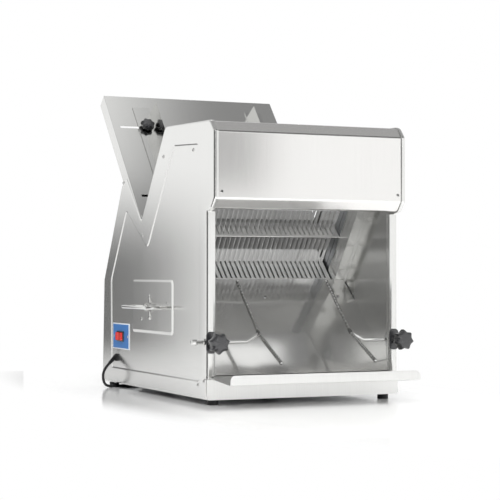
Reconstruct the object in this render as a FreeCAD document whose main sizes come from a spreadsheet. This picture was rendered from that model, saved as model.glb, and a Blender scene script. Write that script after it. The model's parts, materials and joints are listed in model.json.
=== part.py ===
"""Countertop bread slicer: stainless casing, 45 degree feed, two reciprocating blade frames.

Working axes, before the last shift: X to the right with 0 in the middle of the machine, Y to the
rear with 0 at the front faces of the posts, Z up with 0 at the underside of the base. The finished
pieces are shifted so that the origin is the middle of the footprint, on the surface it stands on.
Lengths are in mm and angles in degrees.
"""
import FreeCAD
import Part
import Sketcher
import math
import os
import re

V = FreeCAD.Vector
doc = FreeCAD.newDocument("bread_slicer")

SIZES = {
    # casing
    "body_width": 457, "rear_room": 21, "wall": 1.5, "foot_height": 11, "foot_radius": 12,
    "foot_inset": 24, "edge_radius": 3.2, "lip_width": 10.5, "post_width": 19.5, "post_return": 14,
    "post_top": 396, "hood_nose": 38.5, "hood_lip_z": 422, "hood_shoulder_z": 564,
    "hood_shoulder_run": 21, "hood_front_z": 587, "hood_rear_z": 594, "hood_recess": 2.4,
    "chamfer_y": 20.5, "chamfer_z": 401, "hood_corner": 16, "hood_flap": 72, "hood_tuck": 22,
    "vee_y": 393, "vee_z": 391, "blade_lean": 36.5, "peak_run": 102, "peak_rise": 104,
    "slant_back": 141, "slant_z": 477, "bend_back": 12, "bend_z": 251,
    "apron_height": 45.5, "apron_flange": 16, "pan_rim": 14,
    "post_foot": 50, "tray_z": 49.4,
    # pressed field of the side panels and the raised pad behind the handle
    "field_depth": 1.8, "field_front": 42, "field_base": 36, "field_rear": 68, "field_bend": 52,
    "field_peak": 77, "field_vee_y": 38, "field_vee_z": 66, "field_top": 45, "field_corner": 14,
    "pad_front": 192, "pad_rear": 457, "pad_low": 128, "pad_high": 253,
    # loading plate and loaf guides
    "plate_angle": 49.5, "plate_y": 399, "plate_z": 396, "plate_length": 408, "plate_flange": 35,
    "slot_height": 7, "slot_low": 70, "slot_below_top": 108, "slot_inset": 20.5,
    "slot_inner": 36, "leg_width": 43, "leg_low": 46, "leg_below_top": 40, "fin_height": 52,
    "fin_below_top": 58, "fin_lean": 11, "loaf_right_x": 165,
    "guide_wall": 2, "loaf_guide_x": 140, "star_radius": 18.5, "star_depth": 14, "star_neck": 7,
    "star_neck_long": 3, "bolt_in": 5, "star_lobes": 7, "stud_radius": 3, "stud_gap": 0.4,
    # feed, combs, chute and tray
    "feed_angle": 45, "feed_rise": 1, "comb_y": 252, "comb_top_y": 322, "comb_inset": 36.5,
    "comb_wall": 2, "comb_slot": 4, "comb_margin": 2.5, "comb_slot_end": 294,
    "chute_y": 18, "chute_z": 52,
    "hold_y": 211, "hold_top_y": 243.5, "hold_rise": 139, "hold_spine": 5.5,
    "tray_reach": 109, "tray_drop": 11, "tray_lip": 20, "tray_inset": 6.5, "tray_tail": 28,
    # side channels that the blade frames run behind
    "channel_inset": 33.5, "channel_width": 30.2, "channel_front": 59, "channel_rear": 18.5,
    "channel_web": 12, "channel_top": 300, "channel_foot": -15, "ear_width": 20, "ear_pitch": 66.5,
    "ear_first": 44, "ear_depth": 10,
    # blades and blade frames; n is square to the blades and t runs along them
    "blade_margin": 15, "pitch": 12, "blade_y": 284, "blade_z": 285, "blade_wide": 12,
    "blade_thick": 0.6, "tab_long": 24, "tab_wide": 4.8, "set_gap": 18, "bar_deep": 16,
    "frame_top": 310, "frame_bottom": -120,
    "bar_tall": 22, "side_bar": 12, "side_bar_inset": 25.5, "rod_inset": 11.5, "rod_radius": 6,
    "bush_long": 36, "bush_wide": 16, "bush_gap": 0.05, "stroke": 20,
    "rod_top": 290, "rod_bottom": -84, "bracket_thick": 10,
    # drive
    "crank_drop": 245, "crank_radius": 9, "disc_radius": 20, "fork_gap": 6, "fork_wall": 8,
    "fork_thick": 10, "fork_low": 24, "front_link_x": 60, "rear_link_inset": 123.5, "link_width": 14,
    "bearing_inset": 80.5,
    "bearing_wide": 20, "bearing_radius": 22, "bearing_foot": 66,
    "shaft_inset": 44.5, "pulley_inset": 56.5, "pulley_wide": 16, "crank_pulley_radius": 55,
    "motor_pulley_radius": 25,
    "belt_wide": 9, "belt_thick": 7, "belt_gap": 0.3, "motor_clear": 58.3,
    "motor_z": 100, "motor_radius": 58, "motor_long": 190, "motor_shaft_radius": 7,
    "motor_shaft_in": 60, "motor_inset": 82.5, "motor_base": 90, "motor_pad": 6, "motor_margin": 12,
    "capacitor_radius": 20, "capacitor_long": 80,
    # slice guides at the front
    "arm_y": 12.5, "arm_z": 121, "arm_radius": 4.5, "wire_radius": 4, "arm_bend_x": 139,
    "arm_step": 29, "arm_rise": 16, "arm_out": 23.5, "left_wire_x": -103, "right_wire_x": 118,
    "wire_top_y": 128, "wire_top_z": 248, "wire_front_y": -99, "wire_front_z": 81,
    "cap_radius": 7, "cap_length": 12, "clamp_size": 26,
    "flange_tall": 46, "flange_wide": 30, "flange_thick": 3, "front_star_radius": 24,
    "front_star_depth": 22, "front_neck": 30,
    # lifting handles
    "handle_y": 323, "handle_z": 189, "handle_span": 170, "handle_bend": 16, "handle_reach": 36, "handle_wire": 4,
    "handle_standoff": 7.5, "strap_y": 334, "bail_gap": 0.6, "strap_width": 12, "strap_height": 58,
    "strap_thick": 2,
    # switch, gland and cord
    "switch_back": 136, "switch_z": 115, "switch_long": 115, "switch_tall": 62, "switch_plate": 1.5,
    "bezel_long": 44, "bezel_tall": 25, "bezel_thick": 3.5, "rocker_gap": 0.4, "rocker_proud": 4,
    "gland_back": 106, "gland_z": 63, "gland_radius": 9, "gland_thick": 5, "boot_length": 20,
    "boot_radius": 6, "cord_radius": 3.2, "coil_y": 752, "coil_x": -46, "coil_radius": 33,
    "coil_half": 12, "coil_tall": 19.2, "plug_aside": 28, "plug_ahead": 11,
    "screw_radius": 4, "screw_proud": 1.8,
}

# Sizes that follow from those above, each with its formula.
FOLLOWING = {
    "crank_y": "blade_y + crank_drop * sin(blade_lean)",
    "crank_z": "blade_z - crank_drop * cos(blade_lean)",
    "fork_half": "disc_radius + stroke / 2 + fork_gap", "fork_reach": "disc_radius + stroke + fork_gap",
    "motor_y": "crank_y + fork_half + fork_wall + motor_clear + motor_radius",
    "body_depth": "motor_y + motor_radius + rear_room",
    "peak_y": "vee_y + peak_run", "peak_z": "vee_z + peak_rise",
    "slant_y": "body_depth - slant_back", "bend_y": "body_depth - bend_back",
    "switch_y": "body_depth - switch_back", "gland_y": "body_depth - gland_back",
    "channel_inner": "body_width / 2 - channel_inset", "comb_half": "body_width / 2 - comb_inset",
    "blade_count": "floor((2 * channel_inner - blade_margin) / pitch)",
    "side_bar_x": "body_width / 2 - side_bar_inset", "rod_x": "body_width / 2 - rod_inset",
    "tray_half": "body_width / 2 - tray_inset", "slot_reach": "body_width / 2 - slot_inset",
    "rear_link_x": "body_width / 2 - rear_link_inset", "bearing_x": "body_width / 2 - bearing_inset",
    "shaft_end": "body_width / 2 - shaft_inset", "pulley_x": "body_width / 2 - pulley_inset",
    "motor_end": "body_width / 2 - motor_inset", "arm_end_x": "body_width / 2 + arm_out",
    "slot_high": "plate_length - slot_below_top", "leg_high": "plate_length - leg_below_top",
    "fin_top": "plate_length - fin_below_top",
}

sheet = doc.addObject("Spreadsheet::Sheet", "Sizes")
for row, (alias, number) in enumerate(SIZES.items(), start=1):
    sheet.set(f"A{row}", alias)
    sheet.set(f"B{row}", str(number))
    sheet.setAlias(f"B{row}", alias)
doc.recompute()
for row, (alias, formula) in enumerate(FOLLOWING.items(), start=len(SIZES) + 1):
    sheet.set(f"A{row}", alias)
    sheet.set(f"B{row}", f"={formula}")
    sheet.setAlias(f"B{row}", alias)
    doc.recompute()
NAMES = sorted([*SIZES, *FOLLOWING], key=len, reverse=True)
WORD = re.compile(r"\b(" + "|".join(NAMES) + r")\b")


def cell(text):
    """A formula with each size's name turned into its reference in the sheet."""
    return WORD.sub(r"Sizes.\1", str(text))


def value(text):
    """The number that a formula of sizes comes to."""
    found = sheet.evalExpression(cell(text))
    return float(getattr(found, "Value", found))


def bind(thing, prop, text):
    """Tie one property to a formula, or set it where the formula is a plain number."""
    thing.setExpression(prop, cell(text))


# ---------------------------------------------------------------- named places, as formulas
HALF = "(body_width / 2)"
INSIDE = f"({HALF} - wall)"
FIELD_IN = f"({HALF} - field_depth - wall)"
PAN_TOP = "(2 * wall)"
VEE_TOP_Y = "(vee_y - (hood_rear_z - vee_z) * tan(blade_lean))"
CHUTE_ANGLE = "atan((comb_y + feed_rise - chute_z) / (comb_y - chute_y))"
FEED_RUN = "(plate_y - 0.6 - comb_top_y)"
FEED_CLIMB = "(plate_z - 0.6 - comb_top_y - feed_rise)"
PLATE_CORNER_Y = "(plate_y + plate_length * cos(plate_angle) + plate_flange * sin(plate_angle))"
SHIFT_Y = f"((tray_reach + wall - {PLATE_CORNER_Y}) / 2)"
X_AXIS, Y_AXIS, Z_AXIS = V(1, 0, 0), V(0, 1, 0), V(0, 0, 1)
ALONG_X = FreeCAD.Rotation(Y_AXIS, 90)
ALONG_Y = FreeCAD.Rotation(X_AXIS, -90)
SIDE_VIEW = FreeCAD.Rotation(V(1, 1, 1), 120)
nodes = []


# ---------------------------------------------------------------- small makers
def place(thing, x=0, y=0, z=0, turn=None, angle=None):
    """Put a thing at three formulas, turned by a rotation or by an angle about X."""
    if turn is not None:
        thing.Placement = FreeCAD.Placement(V(0, 0, 0), turn)
    if angle is not None:
        thing.Placement = FreeCAD.Placement(V(0, 0, 0), FreeCAD.Rotation(X_AXIS, 10))
        bind(thing, "Placement.Rotation.Angle", angle)
    for axis, text in zip("xyz", (x, y, z)):
        bind(thing, f"Placement.Base.{axis}", text)
    return thing


def box(x, y, z, long, deep, tall, name="block"):
    """A block from its lowest corner."""
    thing = doc.addObject("Part::Box", name)
    for prop, text in (("Length", long), ("Width", deep), ("Height", tall)):
        bind(thing, prop, text)
    return place(thing, x, y, z)


def rod(x, y, z, radius, long, turn=ALONG_X, name="round"):
    """A cylinder that starts at a point."""
    thing = doc.addObject("Part::Cylinder", name)
    bind(thing, "Radius", radius)
    bind(thing, "Height", long)
    return place(thing, x, y, z, turn)


def cone(x, y, z, start, end, long, turn=ALONG_X, name="taper"):
    """A cone frustum that starts at a point."""
    thing = doc.addObject("Part::Cone", name)
    for prop, text in (("Radius1", start), ("Radius2", end), ("Height", long)):
        bind(thing, prop, text)
    return place(thing, x, y, z, turn)


def join(*things):
    """Pieces of one solid, fused."""
    thing = doc.addObject("Part::MultiFuse", "joined")
    thing.Shapes = list(things)
    return thing


def group(*things):
    """Separate solids of one kind, kept together."""
    thing = doc.addObject("Part::Compound", "set")
    thing.Links = list(things)
    return thing


def cut(base, *tools):
    """A base with the tools taken out of it."""
    thing = doc.addObject("Part::Cut", "trimmed")
    thing.Base = base
    thing.Tool = tools[0] if len(tools) == 1 else group(*tools)
    return thing


def sketch(points, turn, closed=False):
    """A polyline whose corners are held at their formulas."""
    thing = doc.addObject("Sketcher::SketchObject", "outline")
    spots = [V(value(u), value(v), 0) for u, v in points]
    ends = spots[1:] + spots[:1] if closed else spots[1:]
    for start, end in zip(spots, ends):
        thing.addGeometry(Part.LineSegment(start, end), False)
    count = len(ends)
    for index in range(count if closed else count - 1):
        thing.addConstraint(Sketcher.Constraint("Coincident", index, 2, (index + 1) % count, 1))
    for index, (u, v) in enumerate(points):
        line, tip = (index, 1) if index < count else (count - 1, 2)
        for kind, text, number in (("DistanceX", u, spots[index].x), ("DistanceY", v, spots[index].y)):
            made = thing.addConstraint(Sketcher.Constraint(kind, -1, 1, line, tip, number))
            thing.setExpression(f"Constraints[{made}]", cell(text))
    thing.Placement = FreeCAD.Placement(V(0, 0, 0), turn)
    return thing


def extrude(face, direction, length, centred=True):
    """A solid drawn out of a profile."""
    thing = doc.addObject("Part::Extrusion", "drawn")
    thing.Base = face
    thing.DirMode = "Custom"
    thing.Dir = direction
    thing.Symmetric = centred
    thing.Solid = True
    bind(thing, "LengthFwd", length)
    return thing


def folded(points, width, thickness="wall"):
    """Folded sheet metal: a side profile in Y and Z, thickened to its right and drawn along X."""
    thing = doc.addObject("Part::Offset2D", "fold")
    thing.Source = sketch(points, SIDE_VIEW)
    thing.Mode = 0
    thing.Join = 2
    thing.Fill = True
    bind(thing, "Value", thickness)
    return extrude(thing, X_AXIS, width)


def mirrored(thing):
    """The same piece on the other side of the machine."""
    copy = doc.addObject("Part::Mirroring", "mirrored")
    copy.Source = thing
    copy.Normal = X_AXIS
    return copy


def shaped(shape, name="formed"):
    """A piece whose shape is worked out here from the sheet's values."""
    thing = doc.addObject("Part::Feature", name)
    thing.Shape = shape
    return thing


def node(label, thing):
    """Shift a finished sub-part to the machine's origin and name it."""
    holder = group(thing)
    place(holder, 0, SHIFT_Y, "foot_height")
    holder.Label = label
    nodes.append(holder)
    return holder


def leaned(thing, x=0, n=0, t=0):
    """Put a thing that was built with n as Y and t as Z into the blades' leaning frame."""
    y = f"blade_y + ({n}) * cos(blade_lean) - ({t}) * sin(blade_lean)"
    z = f"blade_z + ({n}) * sin(blade_lean) + ({t}) * cos(blade_lean)"
    return place(group(thing), x, y, z, angle="blade_lean")


def tilted(thing, y, z, angle):
    """A level piece turned about X, then moved to a place in the side view."""
    return place(group(thing), 0, y, z, angle=angle)


def on_plate(thing):
    """Put a thing that was built with Y up the slope into the loading plate's frame."""
    return place(group(thing), 0, "plate_y", "plate_z", angle="plate_angle")


def mirror_pair(stem, thing):
    """A left piece, and its mirror image on the right."""
    node(f"{stem}_left", thing)
    node(f"{stem}_right", mirrored(thing))


def both(label, thing):
    """Two mirrored pieces of one kind, named together."""
    node(label, group(thing, mirrored(thing)))


def screws(spots, turn, length="screw_proud"):
    """Pan head screws: a low dome on a face, at each spot."""
    heads = []
    for x, y, z in spots:
        base = cone(x, y, z, "screw_radius", "screw_radius * 0.62", length, turn, "screw")
        heads.append(base)
    return group(*heads)


# ---------------------------------------------------------------- outlines worked out in numbers
def rounded(points, radii):
    """A closed wire in the YZ plane, through points, with its corners rounded."""
    corners = [V(0, y, z) for y, z in points]
    count = len(corners)
    stops = []
    for index, corner in enumerate(corners):
        back = (corners[index - 1] - corner).normalize()
        ahead = (corners[(index + 1) % count] - corner).normalize()
        half = back.getAngle(ahead) / 2
        reach = radii[index] / math.tan(half)
        middle = corner + (back + ahead).normalize() * (radii[index] / math.sin(half) - radii[index])
        stops.append((corner + back * reach, middle, corner + ahead * reach))
    edges = []
    for index, (start, middle, end) in enumerate(stops):
        edges.append(Part.Arc(start, middle, end).toShape())
        edges.append(Part.LineSegment(end, stops[(index + 1) % count][0]).toShape())
    return Part.Wire(edges)


def drawn(wire, start, end):
    """The area inside a YZ wire, as a solid from one X to another."""
    moved = wire.copy()
    moved.translate(V(start, 0, 0))
    return Part.Face(moved).extrude(V(end - start, 0, 0))


def edges_at(shape, x):
    """The edges of a shape that lie in one plane of X."""
    return [edge for edge in shape.Edges
            if abs(edge.BoundBox.XMin - x) < 1e-6 and abs(edge.BoundBox.XMax - x) < 1e-6]


def panel_outline():
    """The corners of the side panel, from the front foot round the back to the hood's lip."""
    names = (("0", "0", 2), ("body_depth", "0", 2), ("bend_y", "bend_z", 8),
             ("slant_y", "slant_z", 6), ("peak_y", "peak_z", 5), ("vee_y", "vee_z", 3),
             (VEE_TOP_Y, "hood_rear_z", "hood_corner"),
             ("hood_shoulder_run - hood_nose", "hood_front_z", "hood_corner"),
             ("-hood_nose", "hood_shoulder_z", "hood_corner / 2"), ("-hood_nose", "hood_lip_z", 5),
             ("-chamfer_y", "chamfer_z", 2), ("0", "post_top", 1.5))
    return [(value(y), value(z)) for y, z, r in names], [value(r) for y, z, r in names]


def field_outline():
    """The corners of the pressed field of a side panel."""
    names = (("field_front", "field_base", 4), ("body_depth - field_rear", "field_base", 8),
             ("bend_y - field_bend", "bend_z", 20), ("peak_y", "peak_z - field_peak", 9),
             ("vee_y - field_vee_y", "vee_z - field_vee_z", 15),
             ("vee_y - field_vee_y - (hood_rear_z - field_top - vee_z + field_vee_z)"
              " * tan(blade_lean)", "hood_rear_z - field_top", "field_corner"),
             ("field_front", "hood_front_z - field_top", "field_corner"))
    return [(value(y), value(z)) for y, z, r in names], [value(r) for y, z, r in names]


def side_panel():
    """Left side panel: a pressed pan with a rolled rim, a recessed field and a raised pad."""
    wall, half = value("wall"), value(HALF)
    rim, lip = value("post_width"), value("lip_width")
    roll, press = value("edge_radius"), value("field_depth")
    outline = rounded(*panel_outline())
    outer = drawn(outline, -half, -half + rim)
    outer = outer.makeFillet(roll, edges_at(outer, -half))
    inner_wire = outline.makeOffset2D(-wall)
    inner = drawn(inner_wire, -half + wall, -half + rim + 1)
    inner = inner.makeFillet(roll - wall, edges_at(inner, -half + wall))
    pan = outer.cut(inner)
    spare = Part.makeBox(rim - lip + 1, value("body_depth + 2 * hood_nose"),
                         value("hood_rear_z + 1"), V(-half + lip, -value("2 * hood_nose"), -0.5))
    post_tall = value("post_top - post_foot - 1.5")
    post = Part.makeBox(rim, value("wall * 2"), post_tall, V(-half, -wall / 2, value("post_foot")))
    foot_gap = Part.makeBox(rim, 2 * wall, value("post_foot - wall"), V(wall - half, -wall, wall))
    plate_room = Part.makeBox(rim, value("plate_length / 2"), value("2 * plate_flange + 5"),
                              V(wall - half, -14, -value("plate_flange + 2")))
    plate_room.rotate(V(0, 0, 0), X_AXIS, value("plate_angle"))
    plate_room.translate(V(0, value("plate_y"), value("plate_z")))
    pan = pan.cut([spare.cut(post), foot_gap, plate_room])
    post_edge = Part.makeBox(wall, value("post_return"), post_tall,
                             V(-half + rim - wall, 0, value("post_foot")))
    points, radii = field_outline()
    field = rounded(points, radii)
    backing = drawn(field.makeOffset2D(wall), -half + wall / 2, -half + wall + press)
    well = drawn(field, -half - 1, -half + press)
    well = well.makeFillet(press * 0.9, edges_at(well, -half + press))
    low, high = value("pad_low"), value("pad_high")
    near, far = value("pad_front"), value("pad_rear")
    corners = [(near, low), (far, low), (far, high), (near, high)]
    pad = drawn(rounded(corners, [8] * 4), -half, -half + press + wall / 2)
    pad = pad.makeFillet(press * 0.8, edges_at(pad, -half))
    panel = pan.fuse([backing, post_edge]).cut(well).fuse(pad)
    return panel.removeSplitter()


def star(radius, depth, neck, neck_length, lobes, stud, stud_length):
    """A star knob about Z: lobed head, domed face and a neck towards -Z.

    The stud is its radius and how far it stands out of the neck. A length below zero is the
    depth of a blind bore in the neck instead.
    """
    spots = []
    for index in range(lobes):
        turn = 2 * math.pi * index / lobes
        spots.append(V(radius * math.cos(turn), radius * math.sin(turn), 0))
    core = Part.makeCylinder(radius * 0.86, depth)
    lobe_radius = radius * 0.27
    head = core
    for spot in spots:
        hollow = V(spot.x, spot.y, 0)
        spin = FreeCAD.Rotation(Z_AXIS, 180 / lobes)
        gap = spin.multVec(hollow) * 1.06
        head = head.cut(Part.makeCylinder(radius * 0.25, depth, gap))
        lobe_spot = hollow * (1 - lobe_radius / radius)
        head = head.fuse(Part.makeCylinder(lobe_radius, depth, lobe_spot))
    dome = Part.makeSphere(radius * 2.1, V(0, 0, depth - radius * 2.1 + radius * 0.02))
    head = head.common(dome)
    stem = Part.makeCone(neck * 0.85, neck, neck_length, V(0, 0, -neck_length))
    if stud_length > 0:
        bolt = Part.makeCylinder(stud, stud_length, V(0, 0, -neck_length - stud_length))
        return head.fuse([stem, bolt]).removeSplitter()
    bore = Part.makeCylinder(stud, -stud_length + 1, V(0, 0, -neck_length - 1))
    return head.fuse(stem).cut(bore)


def swept(points, radius, bend):
    """A round bar along straight runs that are joined by tangent arcs."""
    spots = [V(*point) for point in points]
    edges, start, arcs = [], spots[0], []
    for index in range(1, len(spots) - 1):
        corner = spots[index]
        back = (spots[index - 1] - corner)
        ahead = (spots[index + 1] - corner)
        short = min(back.Length, ahead.Length)
        back.normalize()
        ahead.normalize()
        half = back.getAngle(ahead) / 2
        arc_radius = bend if bend else 0.45 * short * math.tan(half)
        reach = arc_radius / math.tan(half)
        middle = corner + (back + ahead).normalize() * (arc_radius / math.sin(half) - arc_radius)
        first, last = corner + back * reach, corner + ahead * reach
        arcs.append(arc_radius)
        edges += [Part.LineSegment(start, first).toShape(), Part.Arc(first, middle, last).toShape()]
        start = last
    edges.append(Part.LineSegment(start, spots[-1]).toShape())
    path = Part.Wire(edges)
    ring = Part.Wire(Part.makeCircle(radius, spots[0], (spots[1] - spots[0]).normalize()))
    bar = path.makePipeShell([ring], True, False)
    return bar, path.Length, arcs


# ---------------------------------------------------------------- casing
STAR_X = f"(post_width / 2 - {HALF})"
PANEL = cut(shaped(side_panel()),
            rod("0 - body_width", "arm_y", "arm_z", "arm_radius + 0.6", "2 * body_width"),
            rod(STAR_X, "-20", "arm_z", "stud_radius + stud_gap", 30, ALONG_Y))
SWITCH_HOLE = box(f"0 - {HALF} - 20", "switch_y - bezel_long / 2 + 1.2",
                  "switch_z - bezel_tall / 2 + 1.2", 60, "bezel_long - 2.4", "bezel_tall - 2.4")
GLAND_HOLE = rod(f"0 - {HALF} - 20", "gland_y", "gland_z", "boot_radius", 60)
node("side_panel_left", cut(PANEL, SWITCH_HOLE, GLAND_HOLE))
node("side_panel_right", mirrored(PANEL))

HOOD = [(f"{VEE_TOP_Y} - hood_recess / 2 + hood_flap * sin(blade_lean)",
         "hood_rear_z - hood_recess - hood_flap * cos(blade_lean)"),
        (f"{VEE_TOP_Y} - hood_recess / 2", "hood_rear_z - hood_recess"),
        ("hood_shoulder_run - hood_nose", "hood_front_z - hood_recess"),
        ("hood_recess - hood_nose", "hood_shoulder_z - hood_recess / 2"),
        ("hood_recess - hood_nose", "hood_lip_z"), ("hood_recess - chamfer_y", "chamfer_z + 1"),
        ("hood_tuck", "chamfer_z + 1")]
RAIL_Y = "(hood_recess + wall - hood_nose)"
RAIL = join(box(f"-{INSIDE}", RAIL_Y, "hood_lip_z + 4", "lip_width + 14", "wall", 120),
            box(f"-{INSIDE}", RAIL_Y, "hood_lip_z + 4", "wall", 26, 120))
node("hood", join(folded(HOOD, "body_width - 2 * lip_width - 0.6", "-wall"), RAIL, mirrored(RAIL)))

APRON_HALF = f"({INSIDE} - 2)"
APRON = join(box(f"0 - {HALF}", "-0.3 - wall", 0.5, "body_width", "wall", "apron_height - 0.5"),
             box("lip_width + 0.5 - body_width / 2", "-0.3 - wall", "wall + 0.2",
                 "body_width - 2 * lip_width - 1", "apron_flange", "wall"),
             box("1 + post_width - body_width / 2", "-0.3 - wall", "apron_height - wall",
                 "body_width - 2 * post_width - 2", "apron_flange", "wall"),
             *[box(x, "-0.3 - wall", 3.5, "wall", "apron_flange", "apron_height - 6")
               for x in (f"0 - {APRON_HALF}", f"{APRON_HALF} - wall")])
node("front_apron", APRON)
PAN = [("body_depth - 3 * wall", "pan_rim + wall"), ("body_depth - 3 * wall", PAN_TOP),
       ("apron_flange + 4", PAN_TOP), ("apron_flange + 4", "pan_rim + wall")]
node("base_pan", folded(PAN, f"2 * ({INSIDE} - 2.5)", "-wall"))
REAR = [("body_depth - wall - 2.1", "wall + pan_rim + 4"), ("bend_y - wall - 1.2", "bend_z"),
        ("slant_y - 2", "slant_z - 1.6"), ("peak_y + 8", "peak_z - 6.5")]
REAR_SHEET = folded(REAR, f"2 * ({INSIDE} - 2.5)", "-wall")
VENTS = [box(f"{x} - 4", "bend_y - 20", 70, 8, 60, 90) for x in range(-84, 108, 24)]
node("rear_cover", cut(REAR_SHEET, *VENTS))
FEET = [rod(f"{side} * ({HALF} - foot_inset)", y, "-foot_height", "foot_radius",
            "foot_height + wall", FreeCAD.Rotation())
        for side in (-1, 1) for y in ("foot_inset", "body_depth - foot_inset")]
node("rubber_feet", group(*FEET))

# ---------------------------------------------------------------- feed, combs, chute and tray
FEED_SHEET = box(f"0 - {FIELD_IN}", 0, "-comb_wall", f"2 * {FIELD_IN}",
                 f"sqrt({FEED_RUN} ^ 2 + {FEED_CLIMB} ^ 2) - 0.2", "comb_wall")
node("feed_plate", tilted(FEED_SHEET, "comb_top_y + 0.1", "comb_top_y + feed_rise",
                          f"atan({FEED_CLIMB} / {FEED_RUN})"))


def comb(half, low, high, rise, slot_low, slot_high):
    """A 45 degree plate between two values of Y, with a slot for every blade."""
    plate = box(f"0 - {half}", 0, "-comb_wall", f"2 * {half}", f"({high} - {low}) / cos(feed_angle)",
                "comb_wall")
    cuts = []
    for index in range(int(value("blade_count"))):
        x = f"({index} - (blade_count - 1) / 2) * pitch - comb_slot / 2"
        cuts.append(box(x, f"({slot_low} - ({low})) / cos(feed_angle)", -10, "comb_slot",
                        f"({slot_high} - ({slot_low})) / cos(feed_angle)", 20))
    return tilted(cut(plate, *cuts), low, f"{low} + {rise}", "feed_angle")


node("lower_comb", comb("comb_half", "comb_y", "comb_top_y", "feed_rise", "comb_y + comb_margin",
                        "comb_slot_end"))
node("upper_comb", comb("channel_inner", "hold_y", "hold_top_y", "hold_rise",
                        "hold_y + hold_spine", "hold_top_y + 4"))
CHUTE_LONG = "sqrt((comb_y - 0.3 - chute_y) ^ 2 + (comb_y + feed_rise - chute_z) ^ 2)"
node("chute_plate", tilted(box(f"0 - {FIELD_IN}", 0, "-wall", f"2 * {FIELD_IN}", CHUTE_LONG, "wall"),
                           "chute_y", "chute_z", CHUTE_ANGLE))
TRAY_SLOPE = "(tray_drop / (tray_reach + chute_y))"
TRAY = [("tray_tail", f"tray_z + (tray_tail - chute_y) * {TRAY_SLOPE}"),
        ("-tray_reach", "tray_z - tray_drop"), ("-tray_reach", "tray_z - tray_drop + tray_lip")]
node("tray", folded(TRAY, "2 * tray_half", "-wall"))

# ---------------------------------------------------------------- loading plate and loaf guides
SHEET = box(f"-{INSIDE}", 0, "-wall", f"2 * {INSIDE}", "plate_length", "wall")
FLANGES = [box(x, 9, "-plate_flange", "wall", "plate_length - 9", "plate_flange")
           for x in (f"-{INSIDE}", f"{INSIDE} - wall")]
TOP_FLANGE = box(f"-{INSIDE}", "plate_length - wall", "-plate_flange / 2",
                 f"2 * {INSIDE}", "wall", "plate_flange / 2")
PLATE_SLOTS = [box(x, f"{height} - slot_height / 2", -10, "slot_reach - slot_inner",
                   "slot_height", 20)
               for height in ("slot_low", "slot_high") for x in ("-slot_reach", "slot_inner")]
node("loading_plate", on_plate(cut(join(SHEET, *FLANGES, TOP_FLANGE), *PLATE_SLOTS)))


def loaf_guide(middle):
    """A left loaf guide in the plate's frame: flat leg, upright fin with a leaning top edge."""
    leg = box(f"-{middle} - leg_width / 2", "leg_low", 0.3, "leg_width", "leg_high - leg_low",
              "guide_wall")
    inner = f"(leg_width / 2 - {middle})"
    fin = box(f"{inner} - guide_wall", "leg_low", 0.3, "guide_wall", "fin_top - leg_low",
              "fin_height")
    crop = place(box(0, 0, "0 - fin_height", "4 * guide_wall", "fin_height", "3 * fin_height"),
                 f"{inner} - 2 * guide_wall", "fin_top", 0.3, angle="fin_lean")
    peg = rod(f"-{middle}", "slot_low", -12, "slot_height / 2 - stud_gap", 12.5,
              FreeCAD.Rotation())
    hole = rod(f"-{middle}", "slot_high", -5, "stud_radius + stud_gap", 12, FreeCAD.Rotation())
    return cut(join(leg, cut(fin, crop), peg), hole)


node("loaf_guide_left", on_plate(loaf_guide("loaf_guide_x")))
node("loaf_guide_right", mirrored(on_plate(loaf_guide("loaf_right_x"))))
LOAF_STAR = star(value("star_radius"), value("star_depth"), value("star_neck"),
                 value("star_neck_long"), int(value("star_lobes")),
                 value("stud_radius + bush_gap"), -value("star_neck_long + bolt_in"))
for side, x in (("left", "-loaf_guide_x"), ("right", "loaf_right_x")):
    knob = shaped(LOAF_STAR)
    place(knob, x, "slot_high", "guide_wall + 0.6 + star_neck_long")
    node(f"loaf_knob_{side}", on_plate(group(knob)))
    bolt = join(box(f"{x} - 11", "slot_high - 9", "-wall - 6.3", 22, 18, 6),
                rod(x, "slot_high", "-wall - 3", "stud_radius",
                    "wall + 3 + guide_wall + star_neck_long + bolt_in", FreeCAD.Rotation()))
    node(f"loaf_clamp_bolt_{side}", on_plate(bolt))

# ---------------------------------------------------------------- side channels
CHANNEL_LONG = "(channel_top - channel_foot)"
CHANNEL = join(box("-channel_inner - wall", "-channel_front", 0, "wall",
                   "channel_front - channel_rear", CHANNEL_LONG),
               box("-channel_inner - channel_width", "channel_web - channel_front", 0,
                   "channel_width", "wall", CHANNEL_LONG),
               box("-channel_inner - channel_width", "-channel_front", 0, "wall", "channel_web",
                   CHANNEL_LONG),
               *[box("-channel_inner - ear_width", "channel_web - channel_front - ear_depth",
                     f"ear_first + {index} * ear_pitch", "ear_width", "ear_depth", "wall")
                 for index in range(3)])
CHUTE_BLOCK = tilted(box("0 - body_width", "0 - 2 * chute_z", "0 - 2 * chute_z", "2 * body_width",
                         "body_depth", "2 * chute_z + 0.3"), "chute_y", "chute_z", CHUTE_ANGLE)
mirror_pair("side_channel", cut(leaned(CHANNEL, t="channel_foot"), CHUTE_BLOCK))

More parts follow.
